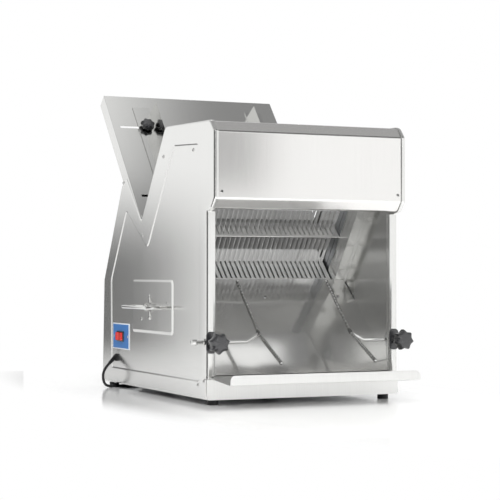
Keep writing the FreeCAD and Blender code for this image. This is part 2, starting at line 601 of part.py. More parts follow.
# ---------------------------------------------------------------- blade frames
SPAN = "(frame_top - frame_bottom)"
BAR_HALF = "(side_bar_x - side_bar / 2)"
GUIDE_RODS = []
for side, n, first in (("front", "(0 - set_gap / 2)", 0), ("rear", "(set_gap / 2)", 1)):
    bars = [box(f"0 - {BAR_HALF} - 1", "-bar_deep / 2", f"{t} - bar_tall / 2", f"2 * {BAR_HALF} + 2",
                "bar_deep", "bar_tall") for t in ("frame_top", "frame_bottom")]
    sides = [box(f"{sign} * side_bar_x - side_bar / 2", "-bar_deep / 2",
                 "frame_bottom - bar_tall / 2", "side_bar", "bar_deep", f"{SPAN} + bar_tall")
             for sign in (-1, 1)]
    node(f"{side}_blade_frame", leaned(join(*bars, *sides), n=n))
    strips = []
    inner = "0 - blade_wide / 2" if side == "front" else "blade_wide / 2 - tab_wide"
    for index in range(first, int(value("blade_count")), 2):
        x = f"({index} - (blade_count - 1) / 2) * pitch - blade_thick / 2"
        strips.append(join(box(x, "0 - blade_wide / 2", "frame_bottom + bar_tall / 2 + tab_long",
                               "blade_thick", "blade_wide", f"{SPAN} - bar_tall - 2 * tab_long"),
                           box(x, inner, "frame_bottom + bar_tall / 2", "blade_thick", "tab_wide",
                               f"{SPAN} - bar_tall")))
    node(f"{side}_blades", leaned(group(*strips)))
    bushes = []
    for sign in (-1, 1):
        middle = f"{sign} * rod_x"
        GUIDE_RODS.append(rod(middle, n, "rod_bottom", "rod_radius", "rod_top - rod_bottom",
                              FreeCAD.Rotation()))
        for t in ("(rod_bottom + bracket_thick + stroke + 8)",
                  "(rod_top - bracket_thick - stroke - 8 - bush_long)"):
            start = "side_bar_x + side_bar / 2" if sign > 0 else f"0.6 - {FIELD_IN}"
            wide = f"{FIELD_IN} - 0.6 - side_bar_x - side_bar / 2"
            block = box(start, "-bush_wide / 2", t, wide, "bush_wide", "bush_long")
            bushes.append(cut(block, rod(middle, 0, f"{t} - 1", "rod_radius + bush_gap",
                                         "bush_long + 2", FreeCAD.Rotation())))
    node(f"{side}_bushes", leaned(group(*bushes), n=n))
BRACKETS = []
for sign in (-1, 1):
    for t in ("rod_bottom", "rod_top - bracket_thick"):
        start = f"{FIELD_IN} - rod_x + side_bar_x" if sign > 0 else f"0 - {FIELD_IN}"
        block = box(start, "0 - set_gap / 2 - rod_radius - 5", t, "(rod_x - side_bar_x)",
                    "set_gap + 2 * rod_radius + 10", "bracket_thick")
        holes = [rod(f"{sign} * rod_x", n, f"{t} - 1", "rod_radius", "bracket_thick + 2",
                     FreeCAD.Rotation()) for n in ("0 - set_gap / 2", "set_gap / 2")]
        BRACKETS.append(cut(block, *holes))
node("guide_rods", leaned(group(*GUIDE_RODS)))
node("rod_brackets", leaned(group(*BRACKETS)))

# ---------------------------------------------------------------- drive
CRANK = [rod("22 - shaft_end", "crank_y", "crank_z", "crank_radius", "2 * shaft_end - 22")]
for x, sign in (("front_link_x", "+"), ("rear_link_x", "-")):
    for side in (-1, 1):
        CRANK.append(rod(f"{side} * {x} - fork_thick / 2 - 1",
                         f"crank_y {sign} stroke / 2 * sin(blade_lean)",
                         f"crank_z - ({sign}1) * stroke / 2 * cos(blade_lean)",
                         "disc_radius", "fork_thick + 2"))
node("eccentric_shaft", join(*CRANK))
for side, n, x in (("front", "(0 - set_gap / 2)", "front_link_x"),
                   ("rear", "(set_gap / 2)", "rear_link_x")):
    links = []
    for sign in (-1, 1):
        start = f"{sign} * {x} - fork_thick / 2"
        yoke = box(start, "0 - fork_half - fork_wall", "-crank_drop - fork_low",
                   "fork_thick", "2 * (fork_half + fork_wall)", "fork_low + fork_reach + fork_wall")
        bar = box(start, f"{n} - link_width / 2", "-crank_drop + fork_reach + 1", "fork_thick",
                  "link_width", "crank_drop - fork_reach - 1 + frame_bottom - bar_tall / 2")
        mouth = box(f"{start} - 1", "0 - fork_half", "-crank_drop - fork_low - 1",
                    "fork_thick + 2", "2 * fork_half", "fork_low + 1 + fork_reach")
        links.append(cut(join(yoke, bar), mouth))
    node(f"{side}_connecting_rods", leaned(group(*links)))
BEARINGS = []
for sign in (-1, 1):
    start = f"{sign} * bearing_x - bearing_wide / 2"
    housing = rod(start, "crank_y", "crank_z", "bearing_radius", "bearing_wide")
    foot = box(start, f"crank_y - bearing_foot / 2", PAN_TOP, "bearing_wide",
               "bearing_foot", 10)
    stem = box(start, f"crank_y - bearing_radius * 0.8", PAN_TOP, "bearing_wide",
               "bearing_radius * 1.6", f"crank_z - {PAN_TOP}")
    bore = rod(f"{start} - 1", "crank_y", "crank_z", "crank_radius + bush_gap", "bearing_wide + 2")
    BEARINGS.append(cut(join(housing, foot, stem), bore))
node("shaft_bearings", group(*BEARINGS))


def pulley(y, z, radius, bore, wide):
    """A belt pulley about X with a groove for the belt and a hub."""
    start = f"pulley_x - {wide} / 2"
    rim = rod(start, y, z, radius, wide)
    groove = cut(rod("pulley_x - belt_wide / 2 - 1", y, z, f"{radius} + 1", "belt_wide + 2"),
                 rod("pulley_x - belt_wide / 2 - 2", y, z, f"{radius} - belt_thick",
                     "belt_wide + 4"))
    return cut(rim, groove, rod(f"{start} - 1", y, z, bore, f"{wide} + 2"))


node("crank_pulley", pulley("crank_y", "crank_z", "crank_pulley_radius", "crank_radius",
                            "pulley_wide"))
node("motor_pulley", pulley("motor_y", "motor_z", "motor_pulley_radius", "motor_shaft_radius",
                            "pulley_wide"))
node("motor_shaft", rod("motor_end - motor_shaft_in", "motor_y", "motor_z", "motor_shaft_radius",
                        "pulley_x + pulley_wide / 2 + motor_shaft_in - motor_end"))
MOTOR = join(rod("motor_end - motor_long", "motor_y", "motor_z", "motor_radius", "motor_long - 14"),
             cone("motor_end - 14", "motor_y", "motor_z", "motor_radius", "motor_radius * 0.55", 14),
             box("motor_end - motor_long + 20", "motor_y - motor_base / 2", f"{PAN_TOP} + motor_pad",
                 "motor_long - 5 * motor_margin", "motor_base",
                 f"motor_z - motor_radius * 0.8 - {PAN_TOP} - motor_pad"))
SHAFT_HOLE = rod("motor_end - motor_shaft_in - 1", "motor_y", "motor_z",
                 "motor_shaft_radius + bush_gap", "motor_shaft_in + 20")
node("motor", cut(MOTOR, SHAFT_HOLE))
node("motor_plate", box("motor_end - motor_long + 20 - motor_margin",
                        "motor_y - motor_base / 2 - motor_margin", PAN_TOP,
                        "motor_long - 3 * motor_margin", "motor_base + 2 * motor_margin", "motor_pad"))
CAPACITOR_Y = "(motor_y - motor_radius - 8 - capacitor_radius)"
node("capacitor", join(rod("motor_end - motor_long + 30", CAPACITOR_Y,
                           f"{PAN_TOP} + 1 + capacitor_radius", "capacitor_radius",
                           "capacitor_long"),
                       box("motor_end - motor_long + 30 + capacitor_long / 8",
                           f"{CAPACITOR_Y} - motor_margin", PAN_TOP, "capacitor_long * 3 / 4",
                           "2 * motor_margin", 8)))


def belt():
    """The drive belt: an open loop round both pulleys, in the middle of their grooves."""
    far = V(0, value("crank_y"), value("crank_z"))
    near = V(0, value("motor_y"), value("motor_z"))
    seat = value("belt_gap - belt_thick")
    big, small = value("crank_pulley_radius") + seat, value("motor_pulley_radius") + seat
    thick, wide = value("belt_thick - belt_gap"), value("belt_wide")
    start = value("pulley_x - belt_wide / 2")

    def loop(extra):
        span = near - far
        along = V(span).normalize()
        across = V(0, -along.z, along.y)
        lean = (big - small) / span.Length
        rise = math.sqrt(1 - lean * lean)
        spots = []
        for sign in (1, -1):
            out = along * lean + across * (rise * sign)
            spots.append((far + out * (big + extra), near + out * (small + extra)))
        (far_up, near_up), (far_down, near_down) = spots
        edges = [Part.LineSegment(far_up, near_up).toShape(),
                 Part.Arc(near_up, near + along * (small + extra), near_down).toShape(),
                 Part.LineSegment(near_down, far_down).toShape(),
                 Part.Arc(far_down, far - along * (big + extra), far_up).toShape()]
        return Part.Wire(edges)

    return drawn(loop(thick), start, start + wide).cut(drawn(loop(0), start - 1, start + wide + 1))


node("drive_belt", shaped(belt()))

# ---------------------------------------------------------------- slice guides
for side, sign, wire_x in (("left", -1, "left_wire_x"), ("right", 1, "right_wire_x")):
    offset = value(wire_x) - sign * value("arm_bend_x - arm_step")
    bend_x = sign * value("arm_bend_x") + offset
    arm_y, arm_z = value("arm_y"), value("arm_z")
    tip_z = arm_z + value("arm_rise")
    arm, _, _ = swept([(sign * value("arm_end_x"), arm_y, arm_z), (bend_x, arm_y, arm_z),
                    (value(wire_x), arm_y, tip_z)], value("arm_radius"), 16)
    wire_x_now = value(wire_x)
    wire, _, _ = swept([(wire_x_now, value("wire_top_y"), value("wire_top_z")),
                     (wire_x_now, arm_y, tip_z),
                     (wire_x_now, value("wire_front_y"), value("wire_front_z"))],
                    value("wire_radius"), 40)
    node(f"slice_guide_{side}", shaped(arm.fuse(wire)))
    reach = "arm_end_x - cap_length / 2" if sign > 0 else "0 - arm_end_x - cap_length / 2"
    socket = "arm_end_x - cap_length" if sign > 0 else "0 - arm_end_x"
    node(f"guide_cap_{side}",
         cut(rod(reach, "arm_y", "arm_z", "cap_radius", "cap_length"),
             rod(socket, "arm_y", "arm_z", "arm_radius + bush_gap", "cap_length")))
CLAMP_X = f"(edge_radius + 0.1 - {HALF})"
CLAMP = cut(box(CLAMP_X, "wall", "arm_z - clamp_size / 2", "post_width - edge_radius - wall - 0.2",
                "clamp_size - 6", "clamp_size"),
            rod("0 - body_width", "arm_y", "arm_z", "arm_radius + bush_gap", "2 * body_width"),
            rod(STAR_X, "-20", "arm_z", "stud_radius + stud_gap", 30, ALONG_Y))
both("guide_clamps", CLAMP)
FLANGE = cut(box(f"{STAR_X} - flange_wide / 2 + 4", "-flange_thick", "arm_z - flange_tall / 2",
                 "flange_wide - 8", "flange_thick", "flange_tall"),
             rod(STAR_X, "-20", "arm_z", "stud_radius + stud_gap", 30, ALONG_Y))
both("clamp_flanges", FLANGE)
COLLAR = cut(rod(f"0 - {HALF} - 3", "arm_y", "arm_z", "arm_radius + 4", 3),
             rod("0 - body_width", "arm_y", "arm_z", "arm_radius + bush_gap", "body_width"))
both("arm_bushes", COLLAR)
FRONT_STAR = star(value("front_star_radius"), value("front_star_depth"), value("star_neck + 2"),
                  value("front_neck"), int(value("star_lobes")), value("stud_radius"),
                  value("flange_thick + arm_y - arm_radius - 0.6"))
for side, sign in (("left", ""), ("right", "-1 * ")):
    knob = place(shaped(FRONT_STAR), f"{sign}{STAR_X}", "0 - flange_thick - 0.4 - front_neck",
                 "arm_z", FreeCAD.Rotation(X_AXIS, 90))
    node(f"front_knob_{side}", knob)

# ---------------------------------------------------------------- lifting handles
HINGE_X = f"(0 - {HALF} - handle_standoff)"


def bail():
    """The handle's closed rectangular loop, lying flat and reaching out from the panel."""
    x, reach = value(HINGE_X), value("handle_reach")
    y, half = value("handle_y"), value("handle_span") / 2
    z, thick = value("handle_z"), value("handle_wire")
    near, far, seam = y - half, y + half, value("bail_gap / 2")
    middle = value("strap_y")
    corners = [(x, middle - seam), (x, near), (x - reach, near), (x - reach, far), (x, far),
               (x, middle + seam)]
    loop, _, _ = swept([(u, v, z) for u, v in corners], thick, value("handle_bend"))
    return loop


mirror_pair("side_handle", shaped(bail()))
STRAP_X = f"(0 - {HALF} - handle_standoff - handle_wire - strap_thick - 0.3)"
STRAP = join(box(STRAP_X, "strap_y - strap_width / 2", "handle_z - 9", "strap_thick",
                 "strap_width", 18),
             *[box(STRAP_X, "strap_y - strap_width / 2", f"handle_z {low} 9 - ({high})",
                   f"0 - {HALF} - {STRAP_X}", "strap_width", "strap_thick")
               for low, high in (("+", "strap_thick"), ("-", "0"))],
             *[box(f"0 - {HALF} - strap_thick", "strap_y - strap_width / 2", z, "strap_thick",
                   "strap_width", "strap_height / 2 - 7")
               for z in ("handle_z + 7", "handle_z - strap_height / 2")])
both("handle_straps", STRAP)

# ---------------------------------------------------------------- switch, gland and cord
PANEL_X = f"(0 - {HALF} + field_depth)"
PLATE_X = f"({PANEL_X} - switch_plate)"
node("switch_plate", cut(box(PLATE_X, "switch_y - switch_long / 2", "switch_z - switch_tall / 2",
                             "switch_plate", "switch_long", "switch_tall"), SWITCH_HOLE))
BEZEL = cut(box(f"{PLATE_X} - bezel_thick", "switch_y - bezel_long / 2",
                "switch_z - bezel_tall / 2", "bezel_thick", "bezel_long", "bezel_tall"),
            box(f"0 - {HALF} - 20", "switch_y - bezel_long / 2 + 3", "switch_z - bezel_tall / 2 + 3",
                60, "bezel_long - 6", "bezel_tall - 6"))
SHELL = cut(box(f"{PLATE_X} - 1", "switch_y - bezel_long / 2 + 1.5", "switch_z - bezel_tall / 2 + 1.5",
                32, "bezel_long - 3", "bezel_tall - 3"),
            box(f"{PLATE_X} - 2", "switch_y - bezel_long / 2 + 3", "switch_z - bezel_tall / 2 + 3",
                12, "bezel_long - 6", "bezel_tall - 6"))
node("switch_housing", join(BEZEL, SHELL))
ROCKER_LONG = "(bezel_long - 6 - 2 * rocker_gap)"
ROCKER = doc.addObject("Part::Common", "rocker")
ROCKER.Base = box(f"{PLATE_X} - bezel_thick - rocker_proud", f"switch_y - {ROCKER_LONG} / 2",
                  "switch_z - bezel_tall / 2 + 3 + rocker_gap", "rocker_proud + 4",
                  ROCKER_LONG, "bezel_tall - 6 - 2 * rocker_gap")
ROCKER.Tool = cut(rod(f"{PLATE_X} - 2", "switch_y", "switch_z - 20", f"{ROCKER_LONG} / 2 + 0.1", 40,
                      FreeCAD.Rotation()),
                  rod(f"{PLATE_X} - bezel_thick - 34", "switch_y", "switch_z - 21", 32, 42,
                      FreeCAD.Rotation()))
node("switch_rocker", ROCKER)
BOOT_TURN = FreeCAD.Rotation(Y_AXIS, -135)
node("cable_gland", join(rod(f"0 - {HALF} - gland_thick", "gland_y", "gland_z", "gland_radius",
                             "gland_thick + field_depth"),
                         cone(f"0 - {HALF} - 4", "gland_y", "gland_z", "boot_radius",
                              "cord_radius + 1", "boot_length", BOOT_TURN)))
FLOOR = value("cord_radius - foot_height")
BOOT_ALONG = BOOT_TURN.multVec(Z_AXIS)
BOOT_END = V(value(f"0 - {HALF} - 4"), value("gland_y"), value("gland_z"))
BOOT_END += BOOT_ALONG * value("boot_length")
CORD = [tuple(BOOT_END), tuple(BOOT_END + BOOT_ALONG * 20), (-262.5, 566, 11), (-249, 580, FLOOR),
        (-216, 590, FLOOR), (-180, 594, FLOOR), (-150, 614, FLOOR), (-131, 645, FLOOR),
        (-124, 680, FLOOR), (-111, 714.4, FLOOR), (-85.15, 729.4, FLOOR)]
cord_solid, cord_length, cord_arcs = swept(CORD, value("cord_radius"), 0)
cord_section = math.pi * value("cord_radius") ** 2
if abs(cord_solid.Volume / (cord_section * cord_length) - 1) > 0.01:
    raise RuntimeError("the cord is not as long as its volume says")
node("mains_cord", shaped(cord_solid))
node("cord_coil", cut(rod("coil_x", "coil_y", "-foot_height", "coil_radius + coil_half",
                          "coil_tall", FreeCAD.Rotation()),
                      rod("coil_x", "coil_y", "-foot_height - 1", "coil_radius - coil_half",
                          "coil_tall + 2", FreeCAD.Rotation())))
PLUG_X, PLUG_Y, PLUG_Z = "(coil_x + plug_aside)", "(coil_y - plug_ahead)", "(coil_tall - foot_height + 11)"
node("mains_plug", join(box(f"{PLUG_X} - 16", f"{PLUG_Y} - 38", "coil_tall - foot_height", 32, 38, 22),
                        cone(PLUG_X, PLUG_Y, PLUG_Z, 8, "cord_radius + 1.2", 24, ALONG_Y),
                        *[rod(f"{PLUG_X} {sign} 9.5", f"{PLUG_Y} - 57", PLUG_Z, 2.4, 20, ALONG_Y)
                          for sign in "+-"]))

# ---------------------------------------------------------------- fasteners
TO_LEFT = FreeCAD.Rotation(Y_AXIS, -90)
TO_FRONT = FreeCAD.Rotation(X_AXIS, 90)
FIELD_X = f"(0 - {HALF} + field_depth)"
SIDE_SCREWS = [(FIELD_X, "field_front + 36", "hood_front_z - 57"),
               (f"0 - {HALF}", f"{VEE_TOP_Y} + 7", "hood_rear_z - 67"),
               (f"0 - {HALF}", "vee_y - 10", "vee_z - 37"),
               (f"0 - {HALF}", "peak_y + 19", "peak_z - 13"),
               (f"0 - {HALF}", "post_width - 5.5", "post_foot - 10"),
               (f"0 - {HALF}", "field_front + 5", "field_base - 6")]
STRAP_FACE = f"(0 - {HALF} - strap_thick)"
HANDLE_SCREWS = [(STRAP_FACE, "strap_y", "handle_z + strap_height / 2 - 6"),
                 (STRAP_FACE, "strap_y", "handle_z - strap_height / 2 + 6"),
                 (f"0 - {HALF}", "handle_y - handle_span / 2 - 9", "handle_z + 12"),
                 (f"0 - {HALF}", "handle_y + 65", "handle_z - 28")]
HOOD_SCREWS = [(f"{sign} * ({HALF} - lip_width - 9)", "hood_recess - hood_nose", "hood_lip_z + 14")
               for sign in (-1, 1)]
SWITCH_SCREWS = [(PLATE_X, f"switch_y {sign} (switch_long / 2 - 9.5)", "switch_z")
                 for sign in "+-"]
LEFT_SCREWS = screws(SIDE_SCREWS + HANDLE_SCREWS, TO_LEFT)
node("casing_screws", group(LEFT_SCREWS, mirrored(LEFT_SCREWS), screws(HOOD_SCREWS, TO_FRONT),
                            screws(SWITCH_SCREWS, TO_LEFT)))

# ---------------------------------------------------------------- check and write
doc.recompute()
for thing in doc.Objects:
    if any(word in thing.State for word in ("Invalid", "Error")):
        raise RuntimeError(f"{thing.Name} ({thing.Label}) failed: {thing.State}")
os.makedirs("parts", exist_ok=True)
for thing in nodes:
    shape = thing.Shape
    if shape.isNull() or not shape.isValid() or not shape.Solids:
        raise RuntimeError(f"{thing.Label} is not a sound solid")
for thing in nodes:
    thing.Shape.exportStep(f"parts/{thing.Label}.step")
print(len(nodes), "sub-parts; free cord", round(cord_length), "mm; its arcs, in mm:",
      *[round(radius, 1) for radius in cord_arcs])
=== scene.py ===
"""Countertop bread slicer: finishes, fine shapes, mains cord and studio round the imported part.

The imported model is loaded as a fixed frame. Each operator below finishes or models one group of
pieces, in metres, in the frame's own axes: X to the right, Y to the rear, Z up from the worktop.
"""
import math

import bmesh
import bpy
from mathutils import Matrix, Vector
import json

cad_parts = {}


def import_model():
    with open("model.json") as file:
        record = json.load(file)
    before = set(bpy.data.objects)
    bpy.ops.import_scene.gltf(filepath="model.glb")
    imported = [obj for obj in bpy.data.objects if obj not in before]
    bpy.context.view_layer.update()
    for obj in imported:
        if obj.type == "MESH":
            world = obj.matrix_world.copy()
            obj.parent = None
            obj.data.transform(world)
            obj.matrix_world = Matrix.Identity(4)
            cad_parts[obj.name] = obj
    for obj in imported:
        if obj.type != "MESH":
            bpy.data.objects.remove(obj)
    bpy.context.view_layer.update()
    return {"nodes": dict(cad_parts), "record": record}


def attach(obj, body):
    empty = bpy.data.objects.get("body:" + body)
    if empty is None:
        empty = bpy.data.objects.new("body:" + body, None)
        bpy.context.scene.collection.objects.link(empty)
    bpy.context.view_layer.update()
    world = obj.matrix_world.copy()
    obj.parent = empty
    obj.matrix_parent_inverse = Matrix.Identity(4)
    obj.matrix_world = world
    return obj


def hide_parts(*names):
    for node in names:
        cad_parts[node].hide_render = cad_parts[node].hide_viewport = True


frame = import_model()

bl_info = {
    "name": "Bread Slicer",
    "version": (1, 0, 0),
    "blender": (4, 5, 0),
    "location": "View3D > Sidebar > Slicer",
    "description": "Finishes a countertop bread slicer and sets up its studio",
    "category": "Add Mesh",
}

MM = 0.001
# The feet's height, and the shift from the machine's drawing axes (Y from the front posts, Z from
# the base) to the frame.
FOOT = 11
SHIFT = Vector((0, -290.0445, FOOT)) * MM
# Half the machine's width, the lean of its blades and of its loading plate, and its sheet's wall.
HALF = 228.5
LEAN = math.radians(36.5)
PLATE_LEAN = math.radians(49.5)
SHEET = 1.5


# ---------------------------------------------------------------- small makers
def drawing(x, y, z):
    """A point of the machine's drawing, in millimetres, in the frame."""
    return Vector((x, y, z)) * MM + SHIFT


def put_at(place, *turns):
    """A place of the drawing, turned there by (degrees, axis) pairs in their order."""
    made = Matrix.Translation(drawing(*place))
    for degrees, axis in turns:
        made = made @ Matrix.Rotation(math.radians(degrees), 4, axis)
    return made


def colour(code):
    """An sRGB hex colour as linear RGBA."""
    parts = [int(code[i:i + 2], 16) / 255 for i in (1, 3, 5)]
    return [c / 12.92 if c <= 0.04045 else ((c + 0.055) / 1.055) ** 2.4 for c in parts] + [1]


def add(tree, kind, links=(), values=(), **settings):
    """A shader node; links are (output, input) pairs and values are (input, value) pairs."""
    made = tree.nodes.new("ShaderNode" + kind)
    for name, setting in settings.items():
        setattr(made, name, setting)
    for output, socket in links:
        tree.links.new(output, made.inputs[socket])
    for socket, value in values:
        made.inputs[socket].default_value = value
    return made


def stuff(name, code, metallic, roughness, **more):
    """A material whose even values sit on the shader's own sockets."""
    made = bpy.data.materials.new(name)
    made.use_nodes = True
    shader = made.node_tree.nodes["Principled BSDF"]
    shader.inputs["Base Color"].default_value = colour(code)
    shader.inputs["Metallic"].default_value = metallic
    shader.inputs["Roughness"].default_value = roughness
    for key, setting in more.items():
        shader.inputs[key.replace("_", " ")].default_value = setting
    made.diffuse_color = colour(code)
    return made, made.node_tree, shader


def object_place(tree, scale, turn=(0, 0, 0)):
    """Object coordinates stretched to a pattern's own size."""
    where = add(tree, "TexCoord").outputs["Object"]
    values = (("Scale", scale), ("Rotation", turn))
    return add(tree, "Mapping", [(where, "Vector")], values).outputs["Vector"]


def noise(tree, scale, detail=2):
    """A noise pattern, stretched to its own size, as a number."""
    place = object_place(tree, scale)
    values = (("Scale", 1), ("Detail", detail))
    return add(tree, "TexNoise", [(place, "Vector")], values).outputs["Fac"]


def spread(tree, number, low, high, start=0, end=1, kind="LINEAR"):
    """A number between start and end, led to between low and high."""
    values = (("From Min", start), ("From Max", end), ("To Min", low), ("To Max", high))
    return add(tree, "MapRange", [(number, "Value")], values,
               interpolation_type=kind).outputs["Result"]


def times(tree, one, two):
    """The product of two numbers."""
    return add(tree, "Math", [(one, 0), (two, 1)], operation="MULTIPLY").outputs["Value"]


def vary(tree, shader, factor, low, high):
    """Let a pattern move the roughness between two values."""
    tree.links.new(spread(tree, factor, low, high), shader.inputs["Roughness"])


def dent(tree, shader, height, distance, under=None):
    """Raise the surface by a pattern, over another relief if there is one."""
    links = [(height, "Height")] + ([(under, "Normal")] if under else [])
    relief = add(tree, "Bump", links, [("Distance", distance)]).outputs["Normal"]
    tree.links.new(relief, shader.inputs["Normal"])
    return relief


def brushed(name, code, across, roughness, line=0.9, depth=0.03, bare=1.0):
    """Brushed stainless steel: fine parallel scratches across one axis, long along the others.

    The real lines are 0.1 to 0.3 mm apart; they are drawn 0.9 mm apart so that they show. They
    spread a highlight across the lines, and soft bands 40 mm apart show how the sheet was ground.
    """
    made, tree, shader = stuff(name, code, bare, roughness)
    line_long, band, band_long = 0.12, 0.04, 0.6
    lines = noise(tree, [1 / (line * MM) if axis == across else 1 / line_long for axis in "xyz"], 3)
    bands = noise(tree, [1 / band if axis == across else 1 / band_long for axis in "xyz"])
    both = add(tree, "Math", [(lines, 0), (bands, 1)]).outputs["Value"]
    vary(tree, shader, both, roughness * 0.7, roughness * 1.1)
    shade = add(tree, "VectorMath", [(spread(tree, lines, 0.94, 1.04), 1)],
                [(0, colour(code)[:3])], operation="MULTIPLY")
    tree.links.new(shade.outputs["Vector"], shader.inputs["Base Color"])
    dent(tree, shader, lines, depth * MM)
    return made


def polished(name, code, roughness, wave=0.05, bare=1.0):
    """Mirror polished stainless steel: clear reflections that the thin sheet bends a little.

    Below 1, bare leaves a part of the light scattered, as crumbs and fine scratches do.
    """
    made, tree, shader = stuff(name, code, bare, roughness)
    slow = noise(tree, (9, 9, 9), 1)
    wipe = noise(tree, (700, 60, 60))
    vary(tree, shader, wipe, roughness * 0.7, roughness * 1.5)
    dent(tree, shader, wipe, 0.004 * MM, dent(tree, shader, slow, wave * 0.02))
    return made


def moulded(name, code, roughness, grain=0.7, depth=0.05, **more):
    """Moulded plastic or rubber: a fine even grain from the mould, softly glossy."""
    made, tree, shader = stuff(name, code, 0.0, roughness, **more)
    speck = noise(tree, (1 / (grain * MM),) * 3)
    vary(tree, shader, speck, roughness * 0.8, roughness * 1.2)
    dent(tree, shader, speck, depth * MM)
    return made


def into_scene(name, data):
    """A new object of the scene."""
    thing = bpy.data.objects.new(name, data)
    bpy.context.scene.collection.objects.link(thing)
    return thing


def solid(shape, name, material):
    """A new object of the scene, from a bmesh."""
    mesh = bpy.data.meshes.new(name)
    shape.to_mesh(mesh)
    shape.free()
    mesh.materials.append(material)
    return into_scene(name, mesh)


def settle(shape, name, body, finish, hides, angle, merge=True):
    """Turn a bmesh into a smooth piece that rides on a body, with its real corners kept sharp."""
    if merge:
        bmesh.ops.remove_doubles(shape, verts=shape.verts, dist=1e-6)
        bmesh.ops.recalc_face_normals(shape, faces=shape.faces)
    thing = solid(shape, name, finishes()[finish])
    for face in thing.data.polygons:
        face.use_smooth = True
    thing.data.set_sharp_from_angle(angle=math.radians(angle))
    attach(thing, body)
    if hides:
        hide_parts(*hides)
    return thing


def parts(made, kind=bmesh.types.BMVert, key="geom"):
    """The parts of one kind among what an operator returned."""
    return [part for part in made[key] if isinstance(part, kind)]


def ring_edges(verts):
    """The edges that join a ring of vertices."""
    near = set(verts)
    return list({edge for vert in verts for edge in vert.link_edges
                 if edge.verts[0] in near and edge.verts[1] in near})


def cap(shape, ring):
    """Close a ring of vertices with a face."""
    bmesh.ops.edgeloop_fill(shape, edges=ring_edges(ring))


def grow(shape, edges, step=(0, 0, 0)):
    """Draw edges out by a step in metres, and return the vertices at the new ones."""
    verts = parts(bmesh.ops.extrude_edge_only(shape, edges=edges))
    bmesh.ops.translate(shape, verts=verts, vec=step)
    return verts


def bevel(shape, geom, reach, steps, affect="EDGES"):
    """Round edges or corners; the reach is in millimetres."""
    kind = "OFFSET" if affect == "EDGES" else "ABSOLUTE"
    return bmesh.ops.bevel(shape, geom=geom, offset=reach * MM, offset_type=kind, segments=steps,
                           profile=0.5, affect=affect, material=-1)


def rounded_face(shape, corners, radii, steps=5, axis=0):
    """A flat face that looks down an axis, each of its corners rounded by its own radius."""
    spots = [drawing(*corner) for corner in corners]
    verts = [shape.verts.new(spot) for spot in spots]
    face = shape.faces.new(verts)
    for index, radius in enumerate(radii):
        if radius:
            back = spots[index - 1] - spots[index]
            ahead = spots[(index + 1) % len(spots)] - spots[index]
            reach = radius / math.tan(back.angle(ahead) / 2)
            made = bevel(shape, [verts[index]], reach, steps, "VERTICES")
            face = made["verts"][0].link_faces[0]
    face.normal_update()
    if face.normal[axis] > 0:
        bmesh.ops.reverse_faces(shape, faces=[face])
        face.normal_update()
    return face


def outline_face(shape, x, outline):
    """A face at one X through an outline's (y, z, radius) corners."""
    return rounded_face(shape, [(x, y, z) for y, z, _ in outline],
                        [radius for _, _, radius in outline])


def oblong(x, y, z, wide, long, high):
    """The corners of an upright oblong about a point, by its reach along each axis."""
    return [(x - wide, y - long, z - high), (x + wide, y + long, z - high),
            (x + wide, y + long, z + high), (x - wide, y - long, z + high)]


def press(shape, face, steps):
    """Sink or raise a face in soft steps, each a width and a height in millimetres."""
    for wide, high in steps:
        bmesh.ops.inset_region(shape, faces=[face], thickness=wide * MM, depth=high * MM,
                               use_boundary=True, use_even_offset=True)
        face.normal_update()


def open_edges(shape, x):
    """The open edges that lie in one plane of X, in millimetres."""
    return [edge for edge in shape.edges if (edge.is_boundary or edge.is_wire)
            and all(abs(vert.co.x - x * MM) < 1e-6 for vert in edge.verts)]


def folded(name, node, finish, reach, points, fold, front, steps=5, corner=None, wall=-1):
    """A folded sheet in a node's place, between -reach and reach along X, with a soft fold at
    each inner (y, z) point. A corner's radius and steps round the free corners at the last
    point. Front is a point of its front face, and wall the side that its thickness goes to.
    """
    shape = bmesh.new()
    verts = [shape.verts.new(drawing(-reach, y, z)) for y, z in points]
    grow(shape, [shape.edges.new(pair) for pair in zip(verts, verts[1:])], (2 * reach * MM, 0, 0))
    bevel(shape, [edge for edge in shape.edges if len(edge.link_faces) == 2], fold, steps)
    if corner:
        level = drawing(0, 0, points[-1][1]).z
        for vert in [vert for vert in shape.verts if abs(vert.co.z - level) < 0.1 * MM]:
            bevel(shape, [vert], *corner, "VERTICES")
    face_out(shape, (0, *front), (0, -1, 0))
    sheet_metal(settle(shape, name, "casing", finish, (node,), 40, merge=False),
                wall)


def block(shape, low, high, edge, steps=2):
    """A block between two corners of the drawing, with its edges softened."""
    low, high = drawing(*low), drawing(*high)
    size = Matrix.Diagonal((*(high - low), 1))
    made = bmesh.ops.create_cube(shape, size=1, matrix=Matrix.Translation((low + high) / 2) @ size)
    bevel(shape, ring_edges(made["verts"]), edge, steps)


def turned(shape, matrix, profile, sides):
    """A round piece about Z through (radius, height) steps in millimetres, closed at both ends."""
    radius, level = profile[0]
    made = bmesh.ops.create_circle(shape, segments=sides, radius=radius * MM,
                                   matrix=matrix @ Matrix.Translation((0, 0, level * MM)))
    ring = made["verts"]
    cap(shape, ring)
    centre = matrix @ Vector((0, 0, 0))
    along = (matrix @ Vector((0, 0, 1)) - centre).normalized()
    for wide, high in profile[1:]:
        ring = grow(shape, ring_edges(ring))
        about = Matrix.Translation(-(centre + along * (level * MM)))
        bmesh.ops.scale(shape, verts=ring, vec=(wide / radius,) * 3, space=about)
        bmesh.ops.translate(shape, verts=ring, vec=along * ((high - level) * MM))
        radius, level = wide, high
    cap(shape, ring)


def ribs(count, wide, narrower, start, pitch, outline):
    """The (radius, height) steps of a row of ribs, each narrower than the one before it."""
    return [(wide - narrower * number + out, start + pitch * number + along)
            for number in range(count) for out, along in outline]


